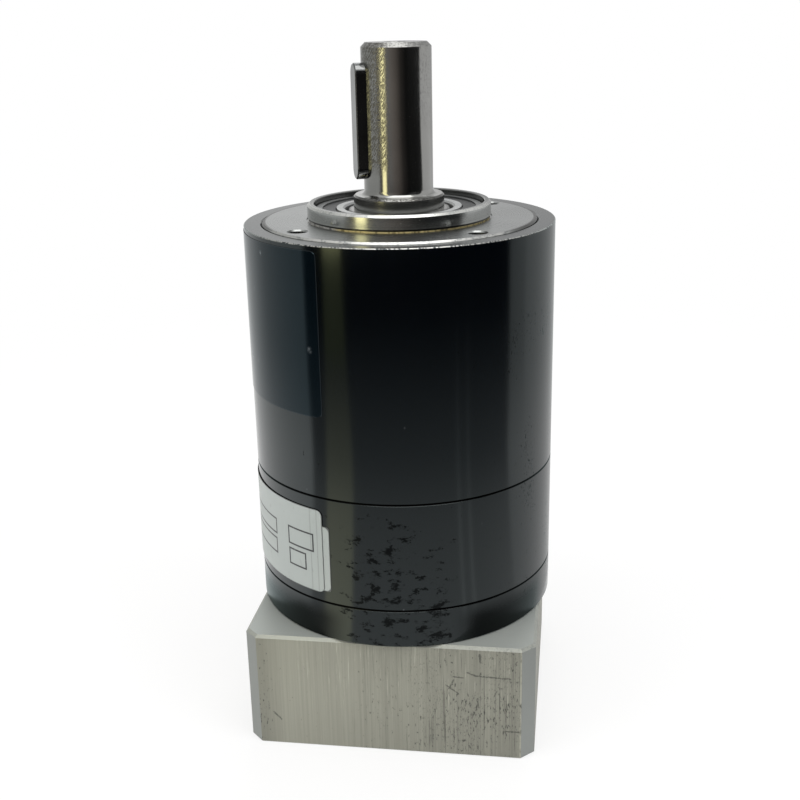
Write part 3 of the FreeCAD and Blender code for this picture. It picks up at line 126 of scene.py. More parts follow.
class GearboxFinishes(PropertyGroup):
    """Colours and gloss of the gearbox's surfaces."""

    black_oxide: colour("Black oxide", 0.0003, 0.0008, 0.0017, "Blackened steel of the body's sections")
    black_roughness: FloatProperty(
        name="Black roughness", description="Roughness of the blackened steel", default=0.125,
        subtype="FACTOR", min=0.0, max=1.0,
    )
    aluminium: colour("Sawn aluminium", 0.326, 0.326, 0.272, "Sawn sides of the motor flange")
    milled: colour("Milled aluminium", 0.395, 0.418, 0.398, "Milled ends and corners of the motor flange")
    cover: colour("Cover steel", 0.258, 0.267, 0.264, "Turned front cover")
    pilot: colour("Pilot steel", 0.42, 0.43, 0.42, "Ground wall of the pilot")
    shaft: colour("Shaft steel", 0.285, 0.285, 0.275, "Ground output shaft")
    key: colour("Key steel", 0.205, 0.210, 0.210, "Drawn key")
    dark_film: colour("Dark film", 0.0014, 0.0032, 0.0048, "Film of the side sticker")
    light_film: colour("Light film", 0.395, 0.430, 0.415, "Film of the rating plates")
    ink: colour("Ink", 0.03, 0.03, 0.033, "Printed lines on the rating plate")


class GearboxStage(PropertyGroup):
    """Camera and light of the studio."""

    camera_place: FloatVectorProperty(
        name="Camera", description="Place of the camera", default=(0.04736, -0.32157, 0.20038),
        subtype="TRANSLATION", unit="LENGTH",
    )
    camera_heading: FloatProperty(
        name="Heading", description="Camera's turn about the vertical", default=math.radians(8.541),
        subtype="ANGLE",
    )
    camera_pitch: FloatProperty(
        name="Pitch", description="How far the camera looks down", default=math.radians(18.552),
        subtype="ANGLE",
    )
    camera_roll: FloatProperty(
        name="Roll", description="Camera's lean about its own axis", default=math.radians(-1.243),
        subtype="ANGLE",
    )
    lens: FloatProperty(
        name="Lens", description="Focal length on a 36 mm sensor", default=52.83, subtype="DISTANCE_CAMERA"
    )
    ambient: FloatProperty(
        name="Ambient", description="Light of the surroundings on matt surfaces", default=0.45, min=0.0
    )
    floor_side: FloatProperty(
        name="Floor", description="Side of the square floor", default=8.0, subtype="DISTANCE"
    )


class Finish:
    """One procedural material, with patterns that follow coordinates in millimetres on the piece."""

    def __init__(self, name):
        self.material = bpy.data.materials.new(name)
        self.material.use_nodes = True
        self.tree = self.material.node_tree
        self.surface = self.tree.nodes["Principled BSDF"]
        self.found = {}

    def add(self, kind, *values, **settings):
        """A node with its settings and its inputs in order, None leaving an input as it is."""
        node = self.tree.nodes.new("ShaderNode" + kind)
        for name, value in settings.items():
            setattr(node, name, value)
        for socket, value in zip(node.inputs, values):
            self.plug(socket, value)
        return node

    def plug(self, socket, value):
        """Link a socket to another one, or set it."""
        if isinstance(value, bpy.types.NodeSocket):
            self.tree.links.new(value, socket)
        elif value is not None:
            socket.default_value = value

    def set(self, **values):
        """Plug values into the surface's own sockets, named in small letters."""
        for name, value in values.items():
            socket = next(s for s in self.surface.inputs if s.name.lower().replace(" ", "_") == name)
            if name.endswith(("color", "tint")) and isinstance(value, tuple):
                value = (*value, 1.0)
            self.plug(socket, value)

    def math(self, operation, first, second=None):
        """Result of one step of arithmetic."""
        return self.add("Math", first, second, operation=operation).outputs[0]

    @property
    def place(self):
        """Place on the object in millimetres, fixed to the piece."""
        if "place" not in self.found:
            rest = self.add("TexCoord").outputs["Object"]
            scaled = self.add("VectorMath", rest, operation="SCALE")
            scaled.inputs["Scale"].default_value = MILLIMETRES
            self.found["place"] = scaled.outputs[0]
        return self.found["place"]

    def axis(self, name):
        """One coordinate: x, y, z, radius about Z, or angle about Z in degrees from 0 to 360."""
        if name not in self.found:
            x, y, z = self.add("SeparateXYZ", self.place).outputs
            turn = self.math("MULTIPLY", self.math("ARCTAN2", y, x), math.degrees(1))
            squares = self.math("ADD", self.math("MULTIPLY", x, x), self.math("MULTIPLY", y, y))
            self.found.update(
                x=x, y=y, z=z,
                radius=self.math("SQRT", squares),
                angle=self.math("FLOORED_MODULO", turn, FULL_TURN),
            )
        return self.found[name]

    def facing(self, name):
        """Component x, y or z of the surface's normal, in the object's own frame."""
        if "normal" not in self.found:
            normal = self.add("TexCoord").outputs["Normal"]
            self.found["normal"] = self.add("SeparateXYZ", normal).outputs
        return self.found["normal"]["xyz".index(name)]

    def step(self, value, low, high):
        """Smooth rise from 0 at low to 1 at high, or fall where low is the greater."""
        return self.add("MapRange", value, low, high, interpolation_type="SMOOTHSTEP").outputs[0]

    def blend(self, factor, first, second):
        """Number between two numbers, the first where the factor is 0 and the second where it is 1."""
        return self.add("MapRange", factor, 0.0, 1.0, first, second).outputs[0]

    def band(self, value, low, high, soft):
        """1 between low and high, fading to 0 over soft on both sides."""
        rise = self.step(value, low - soft, low)
        fall = self.step(value, high + soft, high)
        return self.math("MULTIPLY", rise, fall)

    def both(self, first, *others):
        """Product of masks: 1 only where each is 1."""
        for other in others:
            first = self.math("MULTIPLY", first, other)
        return first

    def either(self, first, *others):
        """Greatest of masks: 1 where any is 1."""
        for other in others:
            first = self.math("MAXIMUM", first, other)
        return first

    def faded(self, mask, share):
        """A mask brought down to a share of itself."""
        return self.math("MULTIPLY", mask, share)

    def stretched(self, x, y, z, shift):
        """Place with each axis scaled, so that a pattern of unit size fits."""
        return self.add("Mapping", self.place, (shift, shift, shift), None, (x, y, z)).outputs[0]

    def cloudy(self, place, detail, ragged):
        """Cloudy value from 0 to 1 with one cycle per unit of a place."""
        return self.add("TexNoise", place, None, 1.0, detail, ragged).outputs["Fac"]

    def noise(self, x, y, z, detail=4.0, ragged=0.55, shift=0.0):
        """Cloudy value from 0 to 1 with so many cycles per millimetre along each axis."""
        return self.cloudy(self.stretched(x, y, z, shift), detail, ragged)

    def rings(self, value, cycles, shift=0.0):
        """Uneven lines across a coordinate, as a turning tool leaves them."""
        line = self.add("CombineXYZ", self.math("MULTIPLY", value, cycles), shift, shift).outputs[0]
        return self.cloudy(line, detail=3.0, ragged=0.6)

    def spots(self, x, y, z, size, shift):
        """Scattered round dots: 1 at a dot's middle, 0 beyond its size."""
        cells = self.add("TexVoronoi", self.stretched(x, y, z, shift), None, 1.0).outputs["Distance"]
        return self.step(cells, size, 0.0)

    def mix(self, factor, first, second):
        """Colour between two colours."""
        node = self.add("Mix", data_type="RGBA")
        self.plug(node.inputs["Factor"], factor)
        for socket, value in (("A_Color", first), ("B_Color", second)):
            target = next(s for s in node.inputs if s.identifier == socket)
            self.plug(target, (*value, 1.0) if isinstance(value, tuple) else value)
        return next(s for s in node.outputs if s.identifier == "Result_Color")

    def ramp(self, value, stops):
        """Colour that changes along a value, with stops of a value and its red, green and blue."""
        low, high = stops[0][0], stops[-1][0]
        node = self.add("ValToRGB", self.add("MapRange", value, low, high).outputs[0])
        elements = node.color_ramp.elements
        for place, _ in stops[1:-1]:
            elements.new((place - low) / (high - low))
        for element, (_, rgb) in zip(elements, stops):
            element.color = (*rgb, 1.0)
        return node.outputs["Color"]

    def segment(self, start, stop):
        """Distance in millimetres from a straight line between two points of the front face."""
        along = Vector((stop[0] - start[0], 0.0, stop[1] - start[1]))
        heading = along.normalized()
        flat = self.add("CombineXYZ", self.axis("x"), 0.0, self.axis("z")).outputs[0]
        rest = self.add("VectorMath", flat, (start[0], 0.0, start[1]), operation="SUBTRACT").outputs[0]
        run = self.add("VectorMath", rest, heading, operation="DOT_PRODUCT").outputs["Value"]
        foot = self.add("VectorMath", heading, operation="SCALE")
        self.plug(foot.inputs["Scale"], self.add("Clamp", run, 0.0, along.length).outputs[0])
        gap = self.add("VectorMath", rest, foot.outputs[0], operation="SUBTRACT").outputs[0]
        return self.add("VectorMath", gap, operation="LENGTH").outputs["Value"]

    def bump(self, height, distance):
        """Relief of so many millimetres."""
        node = self.add("Bump")
        node.inputs["Distance"].default_value = distance / MILLIMETRES
        self.plug(node.inputs["Height"], height)
        self.set(normal=node.outputs[0])

    def shine(self, shader):
        """Let another shader stand for the surface."""
        self.tree.links.new(shader, self.tree.nodes["Material Output"].inputs["Surface"])


def wear(material, *nodes):
    """Give CAD nodes their finish."""
    for name in nodes:
        frame["nodes"][name].material_slots[0].material = material


# Tones that several finishes share
# Near-black for painted shade in the cover's undercut, holes, bore and back edge and on the shaft's bearing
# seat, and for a dark line on the shaft's shoulder edge
SHADE_AND_GRIME = (0.020, 0.019, 0.017)
# Bare worn steel, also the tone of the painted highlights on the cover's near rim, its front edge and the
# pale part of its golden line
BARE_STEEL_AND_HIGHLIGHT = (0.52, 0.52, 0.50)

# The body's tones, and the least height of the pattern that leaves a stain
# Near-black of the stains, nicks and seams, also painted shade at both sides of the body's foot
STAIN_AND_SHADE_BLACK = (0.0030, 0.0030, 0.0032)
DUST = (0.30, 0.31, 0.32)
CLEAN_NEED = 0.80
STRAY_NEED = 0.66
HEART_NEED = 0.535

# Places on the body: angles about Z in degrees, heights past the adapter's foot, a seam or the top edge
STAINED_TURN = Span(262.0, 288.0, soft=26.0)
STAINED_HEIGHT = Span(7.5, 25.5, soft=30.0)
STRAY_STAINS = (65.5, 35.5)
NICKED_TURNS = (Span(296.0, 330.0, soft=10.0), Span(205.0, 262.0, soft=8.0))
GRITTY_TURN = Span(318.0, 356.0, soft=5.0)
GRIT_TOP = (-10.5, -26.5)
# Angles and heights of the painted shade at both sides of the body's foot
SHADED_FOOT_TURNS = (Span(200.0, 244.0, soft=14.0), Span(306.0, 334.0, soft=12.0))
SHADED_FOOT_HEIGHT = (12.5, 5.5)
SEAM = Span(-0.26, 0.26, soft=0.10)
BARE_EDGE = (-0.32, -0.16)


def body_stains(f):
    """Ragged dark stains low on the front, and a few stray ones around them."""
    foot, z = floor_of("input_flange"), f.axis("z")
    patch = f.noise(0.21, 0.21, 0.36, detail=9.0, ragged=0.72, shift=3.1)
    heart = f.both(f.band(f.axis("angle"), *STAINED_TURN), f.band(z, *STAINED_HEIGHT.past(foot)))
    stray = f.both(f.step(z, *at(foot, STRAY_STAINS)), f.step(f.noise(0.03, 0.03, 0.03), 0.42, 0.66))
    need = f.blend(heart, f.blend(stray, CLEAN_NEED, STRAY_NEED), HEART_NEED)
    return f.faded(f.step(f.math("SUBTRACT", patch, need), -0.01, 0.05), 0.8)


def body_grit(f):
    """Small nicks beside the stains, and fine dark grit towards the right."""
    angle, top = f.axis("angle"), top_of("output_housing")
    nicks = f.step(f.noise(0.85, 0.85, 0.42, detail=5.0, ragged=0.6, shift=12.0), 0.69, 0.73)
    nicks = f.both(nicks, f.either(*(f.band(angle, *span) for span in NICKED_TURNS)))
    crowd = f.step(f.noise(0.09, 0.09, 0.045, shift=14.0), 0.42, 0.66)
    grains = f.noise(1.7, 1.7, 0.9, detail=5.0, ragged=0.7, shift=16.0)
    grit = f.step(f.math("ADD", grains, f.blend(crowd, -0.05, 0.06)), 0.61, 0.66)
    grit = f.both(grit, f.band(angle, *GRITTY_TURN), f.step(f.axis("z"), *at(top, GRIT_TOP)))
    return f.either(f.faded(nicks, 0.75), f.faded(grit, 0.80))


def body_seams_and_shade(f):
    """Dark lines where the sections meet, and painted shade at both sides of the body's foot."""
    z = f.axis("z")
    lines = f.either(*(f.band(z, *SEAM.past(floor_of(section))) for section in BODY_SECTIONS))
    sides = f.either(*(f.band(f.axis("angle"), *span) for span in SHADED_FOOT_TURNS))
    # Painted shade low at both sides of the foot
    foot = f.both(sides, f.step(z, *at(floor_of("input_flange"), SHADED_FOOT_HEIGHT)))
    return f.either(lines, f.faded(foot, 0.76))


def black_oxide(colours):
    """Blackened steel: satin gloss, a bare top edge, stains, nicks, dark seams, painted shade at the foot's
    sides and fine dust.
    """
    f = Finish("black_oxide_steel")
    dark = f.either(body_stains(f), body_grit(f), body_seams_and_shade(f))
    top, reach = top_of("output_housing"), reach_of("output_housing")
    edge = f.both(f.step(f.axis("z"), *at(top, BARE_EDGE)), f.step(f.axis("radius"), *at(reach, BARE_EDGE)))
    bare = f.both(edge, f.step(f.noise(1.6, 1.6, 0.4, detail=3.0, shift=6.0), 0.40, 0.54))
    dust = f.both(f.spots(0.15, 0.15, 0.11, 0.05, 5.0), f.step(f.noise(0.03, 0.03, 0.03), 0.50, 0.60))

    cloud = f.noise(0.05, 0.05, 0.03)
    base = f.mix(cloud, shade(colours.black_oxide, 0.75), shade(colours.black_oxide, 1.35))
    # Stains, nicks, seams and the painted shade at the foot's sides
    base = f.mix(dark, base, STAIN_AND_SHADE_BLACK)
    base = f.mix(f.faded(dust, 0.22), base, DUST)
    base = f.mix(f.faded(bare, 0.7), base, BARE_STEEL_AND_HIGHLIGHT)
    smear = f.noise(0.30, 0.30, 0.06, shift=8.0)
    rough = f.blend(smear, colours.black_roughness - 0.03, colours.black_roughness + 0.03)
    rough = f.blend(f.step(f.facing("z"), 0.5, 0.9), rough, 0.20)
    rough = f.blend(f.either(dark, bare), rough, 0.34)
    f.set(base_color=base, roughness=rough, metallic=f.either(dark, bare))
    f.set(specular_ior_level=0.69, specular_tint=(0.88, 1.0, 1.0))
    grain = f.noise(2.2, 2.2, 0.25, detail=3.0)
    f.bump(f.math("SUBTRACT", grain, f.faded(dark, 0.8)), 0.004)
    return f.material


# Labels: lengths in millimetres, angles about Z in degrees
BODY_DEGREE = reach_of("output_housing") * math.radians(1)
STICKER_CORNER = 1.5
PLATE_CORNER = 1.7
FILM_EDGE = 0.30
RUBBED_FILM = (0.30, 0.33, 0.35)
FILM_GRIME = (0.17, 0.17, 0.16)
PRINT_LINE = 0.50
PRINT_SOFT = 0.08
CREASES = (241.6, 244.6)
CREASE_WIDTH = (0.30, 0.05)


class SideBox(NamedTuple):
    """A box on the body's side: its angles about Z in degrees and its heights in millimetres."""

    start: float
    stop: float
    low: float
    high: float


PRINTED_BOXES = (
    SideBox(230.0, 242.6, 60.15, 65.15),
    SideBox(230.1, 238.7, 53.95, 58.55),
    SideBox(195.0, 221.6, 60.65, 65.05),
    SideBox(195.0, 221.3, 54.55, 59.05),
)


def beyond_box(f, box, inset):
    """How far a point lies past a box on the body's side drawn in by inset, across and along."""
    across = f.math("SUBTRACT", f.axis("angle"), (box.start + box.stop) / 2)
    across = f.math("MULTIPLY", f.math("ABSOLUTE", across), BODY_DEGREE)
    along = f.math("ABSOLUTE", f.math("SUBTRACT", f.axis("z"), (box.low + box.high) / 2))
    return (
        f.math("SUBTRACT", across, (box.stop - box.start) / 2 * BODY_DEGREE - inset),
        f.math("SUBTRACT", along, (box.high - box.low) / 2 - inset),
    )


def cut_edge(f, node, corner):
    """Distance in millimetres outwards from the rounded outline of a label on the body."""
    outline = SideBox(*turn_of(node), floor_of(node), top_of(node))
    past = [f.math("MAXIMUM", value, 0.0) for value in beyond_box(f, outline, corner)]
    squares = f.math("ADD", *(f.math("MULTIPLY", value, value) for value in past))
    return f.math("SUBTRACT", f.math("SQRT", squares), corner)


def dark_film(colours):
    """Dark glossy film with a few rubbed spots and a lighter cut edge."""
    f = Finish("dark_sticker_film")
    cloud = f.noise(0.06, 0.06, 0.04)
    base = f.mix(cloud, shade(colours.dark_film, 0.85), shade(colours.dark_film, 1.2))
    rub = f.both(f.spots(0.15, 0.15, 0.11, 0.14, 7.0), f.step(f.noise(0.5, 0.5, 0.3, shift=4.0), 0.42, 0.56))
    dust = f.both(f.spots(0.38, 0.38, 0.33, 0.055, 8.0), f.step(f.noise(0.05, 0.05, 0.05), 0.50, 0.60))
    edge = f.step(cut_edge(f, "side_sticker", STICKER_CORNER), -FILM_EDGE, -FILM_EDGE / 3)
    pale = f.either(f.faded(rub, 0.50), f.faded(dust, 0.16), f.faded(edge, 0.04))
    base = f.mix(pale, base, RUBBED_FILM)
    rough = f.blend(f.noise(0.4, 0.4, 0.1), 0.06, 0.11)
    f.set(base_color=base, roughness=f.blend(rub, rough, 0.35))
    f.set(specular_ior_level=0.375, specular_tint=(0.60, 0.88, 1.0))
    f.bump(f.noise(0.12, 0.12, 0.07), 0.012)
    return f.material


def film_creases(f):
    """Creases that run along a label's height."""
    gaps = [f.math("ABSOLUTE", f.math("SUBTRACT", f.axis("angle"), turn)) for turn in CREASES]
    return f.either(*(f.step(f.math("MULTIPLY", gap, BODY_DEGREE), *CREASE_WIDTH) for gap in gaps))


def light_film(name, colours, node, boxes=()):
    """Silvery label film with empty printed frames, a painted shadow line along its cut edge, and creases
    along its height darkened with painted shade.
    """
    f = Finish(name)
    cloud = f.noise(0.05, 0.05, 0.05)
    base = f.mix(cloud, shade(colours.light_film, 0.92), shade(colours.light_film, 1.05))
    grime = f.step(f.noise(0.9, 0.9, 0.35, detail=6.0, shift=2.0), 0.60, 0.74)
    base = f.mix(f.faded(grime, 0.25), base, FILM_GRIME)
    # A thin dark line along the cut edge is painted shadow
    edge = f.step(cut_edge(f, node, PLATE_CORNER), -FILM_EDGE, -FILM_EDGE / 4)
    base = f.mix(f.faded(edge, 0.85), base, grey(0.035))
    crease = film_creases(f)
    # The creases are darkened with painted shade, their relief comes from the bump
    base = f.mix(f.faded(crease, 0.28), base, grey(0.10))
    for box in boxes:
        rim = f.math("ABSOLUTE", f.math("MAXIMUM", *beyond_box(f, box, 0.0)))
        line = f.step(rim, PRINT_LINE / 2 + PRINT_SOFT, PRINT_LINE / 2 - PRINT_SOFT)
        worn = f.step(f.noise(1.6, 1.6, 1.6, shift=6.0), 0.24, 0.40)
        base = f.mix(f.both(line, worn), base, tuple(colours.ink))
    f.set(base_color=base, roughness=f.blend(f.noise(0.5, 0.5, 0.2), 0.34, 0.46), metallic=0.1)
    ripple = f.noise(0.25, 0.25, 0.06, detail=2.0)
    f.bump(f.math("ADD", ripple, f.faded(crease, 0.5)), 0.04)
    return f.material


# Places on the motor flange in millimetres: x from its middle, z from its underside, y past its front
WORN_SIDE = (-24.0, 30.0)
STREAKED = Span(-16.0, 34.0, soft=14.0)
STREAK_HEIGHT = (6.0, 26.0)
CHIPPED = Span(10.0, 36.0, soft=8.0)
LEFT_EDGE = Span(-37.5, -34.5, soft=2.0)
RIGHT_EDGE = Span(36.75, 37.3, soft=0.10)
DARKER_LEFT = (-29.0, -37.0)
DARKER_FOOT = (22.0, 0.0)
FRONT_DEPTH = (0.6, 0.2)

# The flange's dark tones: pits, nicks, and the painted shade of the cut corners
FLANGE_PIT = (0.05, 0.05, 0.046)
MILLED_NICK = (0.09, 0.09, 0.085)
SHADED_CORNER = (0.05, 0.05, 0.045)


class Scratch(NamedTuple):
    """A scratch on the flange's front face: its ends (x, z) and its width in millimetres."""

    start: tuple
    stop: tuple
    width: float


SCRATCHES = (
    Scratch((22.4, 26.6), (24.5, 25.7), 0.30),
    Scratch((24.3, 25.7), (33.9, 25.3), 0.26),
    Scratch((18.3, 25.1), (21.2, 24.9), 0.20),
    Scratch((16.5, 22.2), (19.7, 19.8), 0.24),
    Scratch((18.5, 24.1), (16.8, 20.8), 0.20),
    Scratch((-33.1, 10.2), (-31.0, 7.9), 0.30),
    Scratch((32.9, 8.6), (37.5, 8.6), 0.28),
    Scratch((25.6, 32.3), (25.8, 29.9), 0.34),
    Scratch((25.0, 18.5), (25.3, 15.9), 0.30),
)


def saw_marks(f, metal, worn):
    """Sawn sides with grooves and bright streaks, darker towards the bottom: their colour, their fine lines
    and their relief.
    """
    z = f.axis("z")
    lines = f.noise(1.9, 1.9, 0.016, detail=5.0, ragged=0.70)
    broad = f.noise(0.16, 0.16, 0.008, detail=3.0, shift=4.0)
    sawn = f.math("ADD", f.faded(lines, 0.72), f.faded(broad, 0.28))
    contrast = f.both(f.math("SUBTRACT", f.step(sawn, 0.30, 0.70), 0.5), f.blend(worn, 0.45, 1.0))
    side = f.mix(f.math("ADD", contrast, 0.5), shade(metal, 0.74), shade(metal, 1.16))
    groove = f.step(f.noise(2.0, 2.0, 0.045, ragged=0.62, shift=9.0), 0.60, 0.66)
    groove = f.both(groove, f.blend(worn, 0.10, 1.0))
    side = f.mix(f.faded(groove, 0.80), side, shade(metal, 0.34))
    streak = f.step(f.noise(2.2, 2.2, 0.06, detail=5.0, ragged=0.7, shift=15.0), 0.58, 0.70)
    streak = f.both(streak, f.band(f.axis("x"), *STREAKED), f.step(z, *STREAK_HEIGHT))
    side = f.mix(f.faded(streak, 0.75), side, shade(metal, 1.75))
    # Darker towards the bottom
    side = f.mix(f.faded(f.step(z, *DARKER_FOOT), 0.09), side, grey(0.0))
    return side, lines, f.math("SUBTRACT", sawn, f.faded(groove, 0.5))


def flange_scratches(f):
    """Wavering, broken scratches."""
    waver = f.faded(f.math("SUBTRACT", f.noise(0.9, 0.9, 0.9, shift=5.0), 0.5), 0.8)
    marks = []
    for scratch in SCRATCHES:
        gap = f.math("ADD", f.segment(scratch.start, scratch.stop), waver)
        marks.append(f.step(gap, scratch.width * 1.4, scratch.width * 0.4))
    return f.both(f.either(*marks), f.step(f.noise(2.4, 2.4, 2.4, shift=13.0), 0.36, 0.46))


def flange_pits(f, worn):
    """Pits and chips, denser towards the worn side."""
    x = f.axis("x")
    pits = f.noise(1.5, 1.5, 0.55, detail=6.0, ragged=0.72, shift=7.0)
    clump = f.blend(f.step(f.noise(0.07, 0.07, 0.05, shift=3.0), 0.40, 0.62), -0.025, 0.03)
    crowd = f.math("ADD", f.blend(f.either(worn, f.band(x, *LEFT_EDGE)), 0.0, 0.075), clump)
    pit = f.step(f.math("ADD", pits, crowd), 0.650, 0.690)
    chips = f.step(f.noise(2.6, 2.6, 1.0, ragged=0.65, shift=19.0), 0.585, 0.640)
    chipped = f.both(f.band(x, *CHIPPED), f.step(f.noise(0.12, 0.12, 0.06, shift=21.0), 0.40, 0.58))
    return f.either(pit, f.both(chips, chipped, 0.8))


def milled_ends(f, colours, corner):
    """Colour of the milled ends, with a few nicks, and painted shade on the cut corners."""
    base = f.mix(f.noise(0.06, 0.06, 0.06), shade(colours.milled, 0.95), shade(colours.milled, 1.06))
    nick = f.step(f.noise(0.7, 0.7, 0.7, detail=5.0, shift=11.0), 0.72, 0.76)
    base = f.mix(f.faded(nick, 0.4), base, MILLED_NICK)
    # The slanted corner faces get painted shade
    return f.mix(f.faded(corner, 0.46), base, SHADED_CORNER)


def sawn_aluminium(colours):
    """Sawn side faces with vertical lines, pits and scratches, darker to the right and at the left edge, and
    smoother milled ends with painted shade on the cut corners.
    """
    f = Finish("sawn_aluminium")
    x, metal = f.axis("x"), colours.aluminium
    slanted = f.both(f.math("ABSOLUTE", f.facing("x")), f.math("ABSOLUTE", f.facing("y")))
    corner = f.step(slanted, 0.2, 0.35)
    milled = f.either(f.step(f.math("ABSOLUTE", f.facing("z")), 0.5, 0.9), corner)
    front = f.step(f.axis("y"), *at(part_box("motor_flange")[0].y * MILLIMETRES, FRONT_DEPTH))
    worn = f.step(x, *WORN_SIDE)

    side, lines, relief = saw_marks(f, metal, worn)
    pit = f.either(flange_pits(f, worn), f.both(flange_scratches(f), front, 0.85))
    side = f.mix(f.faded(pit, 0.80), side, FLANGE_PIT)
    brim = f.both(f.band(x, *RIGHT_EDGE), f.step(f.noise(1.0, 1.0, 0.5, shift=17.0), 0.28, 0.52))
    side = f.mix(f.both(brim, front, 0.40), side, shade(metal, 1.9))
    # Darker to the right and at the left edge
    darker_sides = f.either(f.faded(worn, 0.17), f.faded(f.step(x, *DARKER_LEFT), 0.20))
    side = f.mix(darker_sides, side, grey(0.0))

    sides_rough = f.blend(lines, 0.44, 0.60)
    ends_rough = f.blend(f.noise(1.0, 1.0, 1.0), 0.44, 0.52)
    f.set(base_color=f.mix(milled, side, milled_ends(f, colours, corner)), metallic=0.35)
    f.set(roughness=f.blend(milled, sides_rough, ends_rough))
    f.bump(f.blend(milled, f.math("SUBTRACT", relief, pit), 0.5), 0.03)
    return f.material


# Places on the front cover in millimetres, past its face, edge or holes, or the pilot's wall or top
PILOT_FOOT = (0.5, 0.9)
UNDERCUT_OUTSIDE = (-0.05, -0.20)
UNDERCUT_INSIDE = (-1.2, -0.8)
UNDERCUT_TOP = (0.9, 0.75)
OIL_AND_GLINT_TOP = (0.33, 0.24)
BORE_WALL = (-1.5, -1.75)
RIM_BOTTOM = (-0.75, -0.45)
RIM_INSIDE = (-1.8, -1.4)
RIM_BEVEL = (-0.85, -0.60)
SEAM_SHADE_INSIDE = (-1.15, -0.85)
LIP_INSIDE = (-0.7, -0.4)
LIP_BOTTOM = (-0.8, -0.5)
HOLE_WALL = (0.3, 0.1)
HOLE_MOUTH = (-0.35, -1.6)

# Where the cover's marks change, as angles about Z in degrees and y in millimetres, and their tones
BROWN_OIL_AND_GLINT_TURN = (292.0, 306.0)
PALE_GLINT_TURN = (242.0, 232.0)
SEAM_SHADE_BACK = (-28.0, -12.0)
RIM_BACK = (-8.0, 6.0)
COVER_PIT = (0.05, 0.05, 0.048)
# Gold of the line at the pilot's foot: oil tint and painted highlight together
GOLDEN_OIL_AND_GLINT = (0.74, 0.62, 0.30)


def hole_depths(f, mount, face):
    """1 inside the holes of a bolt pattern below a face, 0 elsewhere."""
    sizes, radius = mount_named(mount)["dims"], f.axis("radius")
    pitch = FULL_TURN / sizes["count"]
    turn = f.math("SUBTRACT", f.math("FLOORED_MODULO", f.axis("angle"), pitch), pitch / 2)
    turn = f.math("MULTIPLY", turn, math.radians(1))
    along = f.math("SUBTRACT", f.math("MULTIPLY", radius, f.math("COSINE", turn)), sizes["pcd_mm"] / 2)
    aside = f.math("MULTIPLY", radius, f.math("SINE", turn))
    squares = f.math("ADD", f.math("MULTIPLY", along, along), f.math("MULTIPLY", aside, aside))
    inside = f.step(f.math("SQRT", squares), *at(sizes["hole_r_mm"], HOLE_WALL))
    return f.both(inside, f.step(f.axis("z"), *at(face, HOLE_MOUTH)))


def oil_and_glint_line(f, base, undercut, face):
    """Golden line low in the pilot's undercut, oil with a painted highlight: the colour with it, and its
    mask.
    """
    angle = f.axis("angle")
    oil_and_glint = f.both(undercut, f.step(f.axis("z"), *at(face, OIL_AND_GLINT_TOP)))
    oil_and_glint = f.both(oil_and_glint, f.blend(f.step(f.noise(1.3, 1.3, 0.3, shift=2.0), 0.36, 0.54), 0.35, 1.0))
    # The tint is oil and painted highlight: gold, browner at one side and pale steel at the other
    tint = f.mix(f.step(angle, *BROWN_OIL_AND_GLINT_TURN), GOLDEN_OIL_AND_GLINT, shade(GOLDEN_OIL_AND_GLINT, 0.5))
    tint = f.mix(f.step(angle, *PALE_GLINT_TURN), tint, BARE_STEEL_AND_HIGHLIGHT)
    return f.mix(oil_and_glint, base, tint), oil_and_glint


def pilot_rim(f, colours, base, wall, top):
    """The pilot's rim: the colour with its dark level part and painted shade on its far side, that part, and
    its near side.
    """
    radius = f.axis("radius")
    rim = f.both(f.step(f.axis("z"), *at(top, RIM_BOTTOM)), f.step(radius, *at(wall, RIM_INSIDE)))
    bevel = f.step(radius, *at(wall, RIM_BEVEL))
    level = f.both(rim, f.step(bevel, 0.6, 0.2))
    base = f.mix(f.faded(level, 0.65), base, shade(colours.pilot, 0.18))
    # Painted shade on the far side of the rim
    far = f.both(rim, f.step(f.axis("y"), *RIM_BACK))
    base = f.mix(f.faded(far, 0.75), base, shade(colours.cover, 0.5))
    return base, level, f.both(rim, f.step(far, 0.6, 0.1), f.blend(bevel, 0.25, 1.0))


